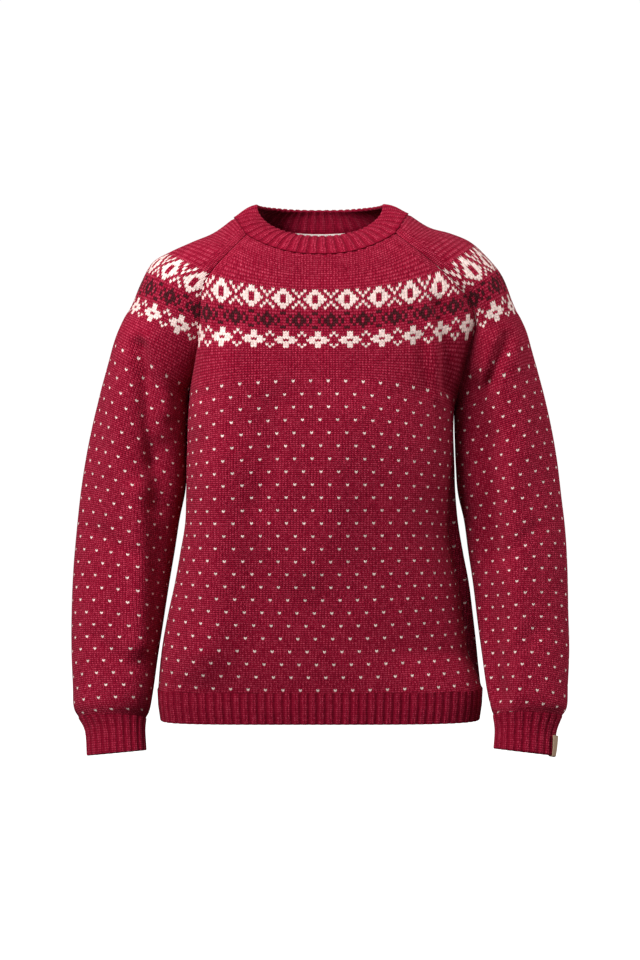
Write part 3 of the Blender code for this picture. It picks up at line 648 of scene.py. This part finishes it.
def yoke_knit(name, first_wale):
    """Plain knitting with the yoke chart. Beside a raglan seam the wales follow the seam, with
    a small fashioning mark every few courses."""
    material, tree, shader = new_material(name)
    shift = tree.nodes.new("ShaderNodeVectorMath")
    shift.operation = "ADD"
    tree.links.new(stitch_map(tree, "knit"), shift.inputs[0])
    shift.inputs[1].default_value = (first_wale, 0.0, 0.0)
    stitches = use_group(tree, stitch_group, Stitch=shift.outputs["Vector"])
    beside = use_group(tree, stitch_group, Stitch=stitch_map(tree, "raglan"))
    near_seam = link_math(tree, "LESS_THAN", beside["Wale"], MARK_WALE - 0.5)
    pick = tree.nodes.new("ShaderNodeMix")
    tree.links.new(near_seam, pick.inputs["Factor"])
    tree.links.new(stitches["Height"], pick.inputs[2])
    tree.links.new(beside["Height"], pick.inputs[3])
    mark = link_math(tree, "MULTIPLY",
                     link_math(tree, "COMPARE", beside["Wale"], float(MARK_WALE), 0.5),
                     link_math(tree, "LESS_THAN", link_math(
                         tree, "FLOORED_MODULO", beside["Course"], COURSES_TO_A_MARK), 1.0))
    mark = link_math(tree, "MULTIPLY", mark,
                     link_math(tree, "LESS_THAN", stitches["Course"], 2.0))
    # The mark sits lower, and the painted shade that follows the stitch height darkens it.
    height = link_math(tree, "MULTIPLY", pick.outputs[0],
                       link_math(tree, "MULTIPLY_ADD", mark, -0.7, 1.0))
    chart = use_group(tree, chart_group, Wale=stitches["Wale"], Course=stitches["Course"])
    colour = mixed(tree, chart["Cream"], CRIMSON, CREAM)
    colour = mixed(tree, chart["Brown"], colour, DARK_BROWN)
    # Cream stitches are drawn fuller: more relief, less painted shade and more painted highlight.
    fuller = link_math(tree, "MULTIPLY", chart["Cream"],
                       link_math(tree, "MULTIPLY_ADD", height, -0.6, 0.42))
    height = link_math(tree, "ADD", height, fuller)
    finish_wool(tree, shader, height, stitches["Leg"], stitches["Course"], colour, 0.001)
    return material


def dress(piece, node):
    """A finished piece stands for its solid and rides on the sweater's one body."""
    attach(piece, "root")
    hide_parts(node)


sleeves = {}
for hand, side, yoke_table, arm_table, area in (
        ("right", -1.0, YOKE_RIGHT, ARM_RIGHT, 0.218), ("left", 1.0, YOKE_LEFT, ARM_LEFT, 0.214)):
    name = "sleeve_" + hand
    panel = sleeve_panel(yoke_table, arm_table, side)
    count_stitches(panel, ARM_ROW_HEIGHT, SLEEVE_SLANT[hand], ((0, 0),))
    add_folds(name, panel)
    panel["neck_edge"] = panel["grid"][0].copy()
    roll_seams_in(panel)
    sleeves[hand] = panel
    piece = knit_wall(name + "_knit", panel, WALL, yoke_knit(name + " wool", 0.0))
    dress(piece, name)

# Front and back panels: fine stranded knitting with the same yoke, shaped at the raglan edges
# and scooped at the neck. They meet at the side seams under the arms and are linked to the
# sleeves above.
BODY_HALF_COLUMNS = 56
CHEST_COLUMNS = ("front_y", "front_z", "back_y", "back_z", "front_bend_right",
                 "front_bend_left", "back_bend")
CHEST = (
    (-95, -45, 85, 1, 50, 52, 46),
    (-98, -59, 91, -22, 52, 55, 48),
    (-100, -73, 96, -46, 54, 58, 50),
    (-103, -88, 99, -70, 57, 62, 53),
    (-105, -104, 101, -94, 60, 65, 57),
    (-108, -129, 102, -119, 63, 68, 61),
    (-111, -155, 102, -143, 67, 71, 66),
    (-113, -172, 101, -166, 72, 75, 72),
    (-114, -189, 100, -186, 78, 79, 78),
    (-115, -206, 98, -206, 84, 84, 84),
    (-116, -221, 96, -225, 90, 90, 90),
)
TRUNK_COLUMNS = ("right_x", "right_z", "left_x", "left_z", "front_y", "front_z", "back_y",
                 "back_z", "square_right", "square_left", "square_back")
TRUNK = (
    (169, -232, 174, -240, -116, -221, 96, -225, 3.0, 2.6, 2.6),
    (170.5, -270, 173.5, -270, -117, -262, 95, -264, 3.2, 2.7, 2.6),
    (171.7, -308, 174.8, -308, -117, -302, 92, -304, 3.4, 2.8, 2.6),
    (172.3, -346, 176, -346, -115, -342, 88, -343, 3.6, 2.9, 2.7),
    (173.5, -385, 179.5, -385, -112, -382, 87, -383, 3.8, 3.0, 2.8),
    (180, -424, 186, -424, -109, -422, 90, -422, 4.0, 3.1, 3.0),
    (187, -463, 193.5, -463, -107, -462, 95, -462, 4.2, 3.2, 3.2),
    (195.5, -502, 198.5, -502, -106, -502, 100, -502, 4.4, 3.4, 3.3),
    (202.5, -541, 203, -541, -105, -541, 103, -541, 4.6, 3.6, 3.4),
    (206, -571, 206, -571, -104, -571, 103, -571, 4.8, 3.7, 3.5),
    (208, -597.5, 209, -597.5, -102, -597.5, 100, -597.5, 5.0, 3.8, 3.6),
)
CHEST_SQUARENESS = (3.0, 2.6, 2.6)

# Across the chest the courses fall towards the sides, and near the hem they rise there: how many
# more courses there are at the side than in the middle, at a place. The wales wander a few
# stitches to the wearer's left on the way down.
BODY_BOW = ((0, 0), (5, 0), (9, -3), (12, -2), (14, 1), (17, 4), (20, 4))
BODY_WANDER = ((10, 0), (12, 0.5), (16, 0.9), (20, 2.5))


def half_body_course(centre, seam, turn_degrees, squareness):
    """Half a course of the trunk, from its centre line round a soft corner to its seam."""
    end = math.radians(turn_degrees)
    angle = end * np.linspace(0.0, 1.0, 160) ** 1.6
    power = 2.0 / squareness
    across = np.sin(angle) ** power / math.sin(end) ** power
    cosine = np.clip(np.cos(angle), 0.0, 1.0)
    inwards = (1.0 - cosine ** power) / (1.0 - max(math.cos(end), 0.0) ** power)
    reach = np.asarray(seam, float) - np.asarray(centre, float)
    points = np.stack([centre[0] + reach[0] * across, centre[1] + reach[1] * inwards,
                       centre[2] + reach[2] * across ** 2.4], axis=1)
    return wales_to_seam(points, BODY_HALF_COLUMNS)


front_courses, back_courses = [], []
for r, row in enumerate(smooth_table(CHEST, YOKE_STEPS)):
    v = dict(zip(CHEST_COLUMNS, row))
    middle = (0.0, v["front_y"], v["front_z"])
    front_courses.append(join_halves(
        half_body_course(middle, sleeves["right"]["front_seam"][r], v["front_bend_right"],
                         CHEST_SQUARENESS[0]),
        half_body_course(middle, sleeves["left"]["front_seam"][r], v["front_bend_left"],
                         CHEST_SQUARENESS[1])))
    middle = (0.0, v["back_y"], v["back_z"])
    back_courses.append(join_halves(*(
        half_body_course(middle, sleeves[hand]["back_seam"][r], v["back_bend"],
                         CHEST_SQUARENESS[2]) for hand in ("left", "right"))))
for row in smooth_table(TRUNK, STEPS_TO_A_RING * (len(TRUNK) - 1))[1:]:
    v = dict(zip(TRUNK_COLUMNS, row))
    sides = {"right": (-v["right_x"], 0.0, v["right_z"]), "left": (v["left_x"], 0.0, v["left_z"])}
    middle = (0.0, v["front_y"], v["front_z"])
    front_courses.append(join_halves(*(
        half_body_course(middle, sides[hand], 90.0, v["square_" + hand])
        for hand in ("right", "left"))))
    middle = (0.0, v["back_y"], v["back_z"])
    back_courses.append(join_halves(*(
        half_body_course(middle, sides[hand], 90.0, v["square_back"])
        for hand in ("left", "right"))))

body = {}
for name, courses, area, turned_round in (("front", front_courses, 0.263, False),
                                          ("back", back_courses, 0.248, True)):
    panel = {
        "grid": np.array([course[0] for course in courses]),
        "stitches": np.array([course[1] for course in courses]),
        "to_seam": np.array([course[2] for course in courses]),
        "places": np.concatenate([np.linspace(0, 10, YOKE_STEPS + 1),
                                  10 + np.arange(1, len(courses) - YOKE_STEPS)
                                  / STEPS_TO_A_RING]),
        "seam_rows": YOKE_STEPS + 1,
        "closed_from": None,
    }
    count_stitches(panel, ROW_HEIGHT, ((0, 0),), BODY_BOW)
    wander = np.interp(panel["places"], *np.array(BODY_WANDER, float).T)
    panel["knit"][:, :, 0] += wander[:, None] * (1 if turned_round else -1)
    add_folds(name, panel)
    panel["neck_edge"] = panel["grid"][0].copy()
    roll_seams_in(panel)
    body[name] = panel
    piece = knit_wall(name + "_knit", panel, WALL, yoke_knit(name + " wool", 0.68))
    dress(piece, name)

# Neck rib: a band of two and two ribbing, picked up round the neck opening and linked on. It
# stands up in a soft roll and its rim curls over.
NECK_RIB_WALL = 3.2
RIB_HEIGHT = 1.5
RIB_BELOW = 0.4
INSIDE_RIB = 0.7
RIBS_NECK = 54
COLLAR_HALF_WIDTH = 81.0
COLLAR_FRONT_Y = -70.0
COLLAR_BACK_Y = 76.0
COLLAR_SIDE_Z = 28.0
COLLAR_FRONT_Z = -20.0
COLLAR_BACK_Z = 30.0
COLLAR_BULGE = 2.6

neck_loop = np.concatenate([
    sleeves["right"]["neck_edge"][:-1], body["front"]["neck_edge"][:-1],
    sleeves["left"]["neck_edge"][:-1], body["back"]["neck_edge"]])
neck_loop[-1] = neck_loop[0]


def collar_rim(point):
    """The rim point above a point of the neck seam."""
    angle = math.atan2(point[1] / 90.0, point[0] / 112.0)
    depth = -COLLAR_FRONT_Y if math.sin(angle) < 0 else COLLAR_BACK_Y
    x, y = COLLAR_HALF_WIDTH * math.cos(angle), depth * math.sin(angle)
    if y < 0:
        fall = (1.0 - min(1.0, y / COLLAR_FRONT_Y)) ** 1.05
        z = COLLAR_FRONT_Z + (COLLAR_SIDE_Z - COLLAR_FRONT_Z) * fall
    else:
        z = COLLAR_SIDE_Z + (COLLAR_BACK_Z - COLLAR_SIDE_Z) * y / COLLAR_BACK_Y
    return np.array([x, y, z])


rim_loop = np.array([collar_rim(point) for point in neck_loop])


def rib_profile(count):
    """Places across one rib from 0 to 1, how high each stands, and how many stitches along it
    is: two purl stitches sunk between ribs of two knit ones."""
    across = np.arange(count) / count
    rise = np.clip((across - 0.14) / 0.2, 0.0, 1.0) * np.clip((0.86 - across) / 0.2, 0.0, 1.0)
    rise = np.sin(rise * math.pi / 2) - 0.12 * np.exp(-((across - 0.5) / 0.06) ** 2)
    stitches = np.interp(across, [0.0, 0.18, 0.82, 1.0], [0.0, 1.0, 3.0, 4.0])
    return across, rise * RIB_HEIGHT - RIB_BELOW, stitches


def ribbed_band(name, rows, free_end, ribs, closed, wall, material, overhang=0.0,
                steps_to_a_rib=12):
    """A ribbed band over coarse rows from its first edge to its last. free_end is the row,
    0 or -1, where the cloth ends in a rounded edge. Its stitches are counted from the other,
    joined edge, where the ribs reach over it by overhang and the grooves fall short, and the
    inside is straight. Inside, the ribs stand out a little where they are sunk outside."""
    normals = grid_normals(rows, 0 if closed else None)
    base = rows[-1 - free_end]
    length = np.concatenate([[0.0], np.cumsum(np.linalg.norm(np.diff(base, axis=0), axis=1))])
    across, rise, stitches = rib_profile(steps_to_a_rib)
    shares = np.concatenate([(rib + across) / ribs for rib in range(ribs)] + [[1.0]])
    height = np.concatenate([np.tile(rise, ribs), rise[:1]])
    behind = INSIDE_RIB * (1.0 - (height + RIB_BELOW) / RIB_HEIGHT)
    wales = np.concatenate([4 * rib + stitches for rib in range(ribs)] + [[4.0 * ribs]])
    at = np.interp(shares * length[-1], length, np.arange(rows.shape[1]))
    low = np.minimum(at.astype(int), rows.shape[1] - 2)
    part = (at - low)[:, None]
    middle = rows[:, low] * (1 - part) + rows[:, low + 1] * part
    facing = normals[:, low] * (1 - part) + normals[:, low + 1] * part
    facing /= np.linalg.norm(facing, axis=2, keepdims=True)
    down = np.concatenate([[0.0], np.cumsum(np.linalg.norm(
        np.diff(middle, axis=0), axis=2).mean(axis=1))])
    from_edge = down if free_end == 0 else down[-1] - down
    half = (height + wall + behind) / 2
    centre = (height - wall - behind) / 2
    share = np.clip(from_edge[:, None] / half, 0.0, 1.0)
    rounded = np.sqrt(1.0 - (1.0 - share) ** 2)
    straight = middle.copy()
    if overhang:
        last, before = (-1, -2) if free_end == 0 else (0, 1)
        run = middle[last] - middle[before]
        run /= np.linalg.norm(run, axis=1, keepdims=True)
        over = overhang * (2.0 * (height + RIB_BELOW) / RIB_HEIGHT - 0.9)
        over += 0.35 * overhang * np.sin(np.arange(len(over)) * 2.39)
        middle[last] += run * over[:, None]
        straight[last] += run * 0.5
    outer = middle + facing * (centre + half * rounded)[..., None]
    inner = straight + facing * (centre - half * rounded)[..., None]
    ring = down[-1] - from_edge
    if free_end == 0:
        loop, ring = np.concatenate([inner[::-1], outer]), np.concatenate([ring[::-1], ring])
    else:
        loop, ring = np.concatenate([outer, inner[::-1]]), np.concatenate([ring, ring[::-1]])
    levels, wide = loop.shape[:2]
    own = np.arange(levels * wide).reshape(levels, wide)
    joined = own.copy()
    if closed:
        joined[:, -1] = joined[:, 0]

    def quads(numbers):
        there = np.roll(numbers, -1, axis=0)
        return np.stack([numbers[:, :-1], there[:, :-1], there[:, 1:], numbers[:, 1:]],
                        axis=-1).reshape(-1, 4)

    faces, corners = quads(joined), quads(own)
    if not closed:
        ends = []
        for level in range(levels // 2 - 1):
            other = levels - 1 - level
            for column in (0, wide - 1):
                strip = [own[level, column], own[other, column], own[other - 1, column],
                         own[level + 1, column]]
                ends.append(strip if column == 0 else strip[::-1])
        faces, corners = np.concatenate([faces, ends]), np.concatenate([corners, ends])
    inside = (np.arange(levels) >= levels // 2) != (free_end == 0)
    knit = np.stack(np.broadcast_arrays(wales[None, :] + 2.0 * inside[:, None],
                                        (ring / ROW_HEIGHT)[:, None]), -1)
    return cloth_mesh(name, loop.reshape(-1, 3), faces, {"knit": knit.reshape(-1, 2)[corners]},
                      material)


def rib_knit(name, hole_sink_and_shade):
    """Two and two ribbing: the purl grooves sit lower and are darkened with painted shade, and
    where the band is joined on they end in small holes, lower still and darker with painted shade,
    as strongly as the second argument says."""
    material, tree, shader = new_material(name)
    numbers = stitch_map(tree, "knit")
    stitches = use_group(tree, stitch_group, Stitch=numbers)
    parts = split_vector(tree, numbers)
    wave = link_math(tree, "COSINE", link_math(tree, "MULTIPLY", parts["X"], math.pi / 2))
    groove = link_math(tree, "POWER", link_math(tree, "MULTIPLY_ADD", wave, 0.5, 0.5), 1.6)
    # The grooves are drawn lower: less relief, and darker with painted shade.
    height = link_math(tree, "MULTIPLY", stitches["Height"],
                       link_math(tree, "MULTIPLY_ADD", groove, -0.5, 1.0))
    joined = tree.nodes.new("ShaderNodeMapRange")
    for socket, value in (("From Min", 0.2), ("From Max", 1.7), ("To Min", 1.0), ("To Max", 0.0)):
        joined.inputs[socket].default_value = value
    tree.links.new(parts["Y"], joined.inputs["Value"])
    hole = link_math(tree, "MULTIPLY", joined.outputs[0],
                     link_math(tree, "MULTIPLY_ADD", groove, 0.6, 0.4))
    # Lower still at the small holes by the joined edge: more painted shade there.
    height = link_math(tree, "MULTIPLY", height,
                       link_math(tree, "MULTIPLY_ADD", hole, -hole_sink_and_shade, 1.0))
    finish_wool(tree, shader, height, stitches["Leg"], stitches["Course"], CRIMSON, 0.0008)
    return material


collar_rows = []
for share in (1.0, 0.995, 0.985, 0.97, 0.95, 0.92, 0.87, 0.8, 0.7, 0.6, 0.5, 0.4, 0.3, 0.2, 0.1,
              0.04, 0.008):
    row = neck_loop + (rim_loop - neck_loop) * share
    outwards = row * [1.0, 1.0, 0.0]
    outwards /= np.linalg.norm(outwards, axis=1, keepdims=True)
    lift = COLLAR_BULGE * math.sin(math.pi * share ** 1.4)
    collar_rows.append(row + lift * (outwards * 0.6 + np.array([0.0, 0.0, 0.8])))
neck_rib = ribbed_band("neck_ribbing", np.array(collar_rows), 0, RIBS_NECK, True, NECK_RIB_WALL,
                       rib_knit("neck rib wool", 0.8), overhang=0.9)
dress(neck_rib, "neck_rib")

# Hem ribs: two and two ribbing knitted on below the front and the back panel.
# They draw the hem in a little and end in a rounded edge.
RIB_WALL = 2.4
HEM_BOTTOM_Z = -638.0
HEM_PULL_IN = 3.0
RIBS_HEM_EACH_HALF = 52

band_wool = rib_knit("band rib wool", 0.35)
for name in ("front", "back"):
    seam_row = body[name]["grid"][-1]
    hem_rows = []
    for share in (0.008, 0.04, 0.1, 0.2, 0.35, 0.5, 0.65, 0.8, 0.88, 0.93, 0.96, 0.98, 0.99,
                  0.997, 1.0):
        row = seam_row.copy()
        row[:, 2] += (HEM_BOTTOM_Z - seam_row[:, 2]) * share
        row[:, :2] *= 1.0 - HEM_PULL_IN * np.interp(share, [0, 0.5, 1], [0, 0.25, 1]) / 160.0
        hem_rows.append(row)
    hem = ribbed_band("hem_ribbing_" + name, np.array(hem_rows), -1, RIBS_HEM_EACH_HALF, False,
                      RIB_WALL, band_wool)
    dress(hem, "hem_rib_" + name)

# Cuffs: a band of two and two ribbing at each wrist, linked to the sleeve all round.
# It draws the wrist in and ends in a rounded edge.
RIBS_CUFF = 22
CUFF_RIGHT = (
    (307, -633, 222, -633, -60, 34, 33, 14),
    (298, -650, 223, -648, -64, 30, 29, 11),
    (295, -680, 221, -673, -71, 29, 28, 7),
)
CUFF_LEFT = (
    (308, -631, 221, -629, -60, 34, 33, 14),
    (300, -651, 223, -648, -64, 30, 29, 11),
    (297, -680, 221, -671, -71, 29, 28, 7),
)
cuffs = {}
for hand, side, table in (("right", -1.0, CUFF_RIGHT), ("left", 1.0, CUFF_LEFT)):
    fine = np.array(smooth_table(table, 100))
    cuff_rows = []
    for share in (0.006, 0.03, 0.1, 0.2, 0.3, 0.4, 0.5, 0.6, 0.7, 0.8, 0.88, 0.93, 0.96, 0.98,
                  0.99, 0.997, 1.0):
        row = [np.interp(share * 100, np.arange(101), column) for column in fine.T]
        cuff_rows.append(join_arm(*arm_ring(row, side), side)[0])
    cuff = ribbed_band("cuff_ribbing_" + hand, np.array(cuff_rows), -1, RIBS_CUFF, True, RIB_WALL,
                       band_wool)
    dress(cuff, "cuff_" + hand)
    cuffs[hand] = np.array(cuff_rows)

# Neck label: a small blank woven tape, ironed flat and sewn in along its top edge under the back
# neck seam. It is off-white and carries nothing.
LABEL_WIDTH = 66.0
LABEL_HEIGHT = 26.0
LABEL_THICKNESS = 1.0
LABEL_STEPS = 32
FINE_RELIEF = 0.0002


def cloth_strip(name, grid, thickness, material):
    """A thin strip of cloth under a grid of points, with soft edges all round."""
    panel = {"grid": grid, "normals": grid_normals(grid), "closed_from": None}
    rows, columns = grid.shape[:2]
    across, down = np.meshgrid(np.linspace(0, 1, columns), np.linspace(0, 1, rows))
    panel["knit"] = panel["raglan"] = np.stack([across, down], -1)
    return knit_wall(name, panel, thickness, material)


back_edge = body["back"]["neck_edge"]
label_x = np.linspace(LABEL_WIDTH / 2, -LABEL_WIDTH / 2, LABEL_STEPS + 1)
label_top = np.stack([
    label_x, np.interp(label_x, back_edge[::-1, 0], back_edge[::-1, 1]) - WALL - 1.4,
    np.interp(label_x, back_edge[::-1, 0], back_edge[::-1, 2]) - 3.2], axis=1)
label_grid = []
for share in np.linspace(0.0, 1.0, 15):
    hang = label_top - [0.0, 0.0, LABEL_HEIGHT * share]
    hang[:, 1] -= 1.2 * share + 0.5 * math.sin(share * math.pi)
    label_grid.append(hang)
label_cloth, tree, shader = new_material("woven label cloth")
weave = tree.nodes.new("ShaderNodeTexWave")
weave.bands_direction = "X"
weave.inputs["Scale"].default_value = 38.0
weave.inputs["Distortion"].default_value = 0.4
tree.links.new(stitch_map(tree, "knit"), weave.inputs["Vector"])
parts = split_vector(tree, stitch_map(tree, "knit"))
stitched = link_math(tree, "MULTIPLY",
                     link_math(tree, "COMPARE", parts["Y"], 0.08, 0.02),
                     link_math(tree, "LESS_THAN", link_math(
                         tree, "FLOORED_MODULO", parts["X"], 0.045), 0.028))
woven = mixed(tree, weave.outputs["Fac"], (0.84, 0.74, 0.70, 1.0), (0.93, 0.86, 0.82, 1.0))
woven = mixed(tree, stitched, woven, (0.55, 0.30, 0.30, 1.0))
tree.links.new(woven, shader.inputs["Base Color"])
shader.inputs["Roughness"].default_value = 0.75
add_relief(tree, shader, weave.outputs["Fac"], FINE_RELIEF)
label = cloth_strip("neck_label_tape", np.array(label_grid), LABEL_THICKNESS, label_cloth)
dress(label, "neck_label")

# Cuff tab: a small blank strip of tan leather, folded in two over the lower edge of the left
# cuff towards the front and stitched through.
TAB_HEIGHT = 26.0
TAB_THICKNESS = 1.0
TAB_HALF_WIDTH = 5.6
TAB_FOLD = 1.8
TAB_FORWARD = 4
TAB_LEAN = 2
TAB_TOP_ROW = 3

cuff = cuffs["left"]
facing = grid_normals(cuff, 0)
tab_at = cuff.shape[1] // 2 - TAB_FORWARD
stand_off = RIB_HEIGHT - RIB_BELOW + SEAM_GAP + TAB_THICKNESS
low = cuff[-1, tab_at]
rise = cuff[TAB_TOP_ROW, tab_at - TAB_LEAN] - low
rise /= np.linalg.norm(rise)
ways = []
for row, column in ((TAB_TOP_ROW, tab_at - TAB_LEAN), (-1, tab_at)):
    forwards = cuff[row, column - 2] - cuff[row, column + 2]
    ways.append((facing[row, column], forwards / np.linalg.norm(forwards)))
tab_grid = []
for run in np.linspace(0.0, 1.0, 13):
    outwards, forwards = (top * (1 - run) + bottom * run for top, bottom in zip(*ways))
    off = stand_off + 0.5 * math.sin(run * math.pi)
    tab_grid.append([low + rise * TAB_HEIGHT * (1 - run) + outwards * off
                     + forwards * TAB_HALF_WIDTH * side for side in np.linspace(1, -1, 9)])
for turn in np.linspace(0.0, 1.0, 9)[1:]:
    angle = turn * math.pi
    depth = stand_off + RIB_WALL + SEAM_GAP + TAB_THICKNESS
    tab_grid.append([low - rise * TAB_FOLD * math.sin(angle)
                     + outwards * (stand_off - depth * (1 - math.cos(angle)) / 2)
                     + forwards * TAB_HALF_WIDTH * side for side in np.linspace(1, -1, 9)])
tan_leather, tree, shader = new_material("tan leather")
place = tree.nodes.new("ShaderNodeTexCoord")
grain = tree.nodes.new("ShaderNodeTexNoise")
grain.inputs["Scale"].default_value = 700.0
grain.inputs["Detail"].default_value = 5.0
tree.links.new(place.outputs["Object"], grain.inputs["Vector"])
tree.links.new(mixed(tree, grain.outputs["Fac"], (0.36, 0.21, 0.12, 1.0), (0.60, 0.42, 0.28, 1.0)),
               shader.inputs["Base Color"])
shader.inputs["Roughness"].default_value = 0.6
add_relief(tree, shader, grain.outputs["Fac"], FINE_RELIEF)
tab = cloth_strip("cuff_tab_leather", np.array(tab_grid), TAB_THICKNESS, tan_leather)
dress(tab, "cuff_tab")

# Floor and backdrop: white paper lit to pure white, with a soft light from above on the left
# and a little from all round. The camera stands level with the middle of the sweater, 3 m off.
bpy.ops.object.select_all(action="DESELECT")
bpy.ops.mesh.primitive_plane_add(size=12.0, location=(0.0, 0.0, -0.95))
floor = bpy.context.object
floor.name = "floor"
bpy.ops.object.transform_apply(location=True)
paper, tree, paper_shader = new_material("white paper")
paper_shader.inputs["Base Color"].default_value = (0.9, 0.9, 0.9, 1)
paper_shader.inputs["Roughness"].default_value = 0.9
paper_shader.inputs["Emission Color"].default_value = (1.0, 1.0, 1.0, 1.0)
paper_shader.inputs["Emission Strength"].default_value = 1.0
floor.data.materials.append(paper)
floor.visible_diffuse = False
floor.visible_glossy = False

scene = bpy.context.scene
scene.view_settings.view_transform = "Standard"
world = bpy.data.worlds.new("studio")
world.use_nodes = True
tree = world.node_tree
seen = tree.nodes.new("ShaderNodeLightPath")
tree.links.new(link_math(tree, "MULTIPLY_ADD", seen.outputs["Is Camera Ray"], 0.91, 0.11),
               tree.nodes["Background"].inputs["Strength"])
tree.nodes["Background"].inputs["Color"].default_value = (1.0, 1.0, 1.0, 1.0)
scene.world = world

for name, energy, size, place, aim in (
        ("key light", 60.0, 1.1, (-1.2, -1.36, 1.05), (0.0, 0.0, -0.3)),
        ("top light", 6.0, 0.9, (0.35, -0.85, 1.15), (0.0, 0.0, 0.0)),
        ("side light", 20.0, 1.0, (2.1, -0.15, 0.1), (0.0, 0.0, -0.35))):
    lamp = bpy.data.lights.new(name, "AREA")
    lamp.energy = energy
    lamp.size = size
    light = bpy.data.objects.new(name, lamp)
    bpy.context.collection.objects.link(light)
    light.location = place
    away = np.array(place) - np.array(aim)
    light.rotation_euler = (math.atan2(math.hypot(away[0], away[1]), away[2]), 0.0,
                            math.atan2(away[0], -away[1]))

lens = bpy.data.cameras.new("camera")
lens.sensor_width = 36.0
lens.lens = 86.54
camera = bpy.data.objects.new("camera", lens)
bpy.context.collection.objects.link(camera)
camera.location = (0.0, -3.0, -0.33)
camera.rotation_euler = (math.pi / 2, 0.0, 0.0)
scene.camera = camera
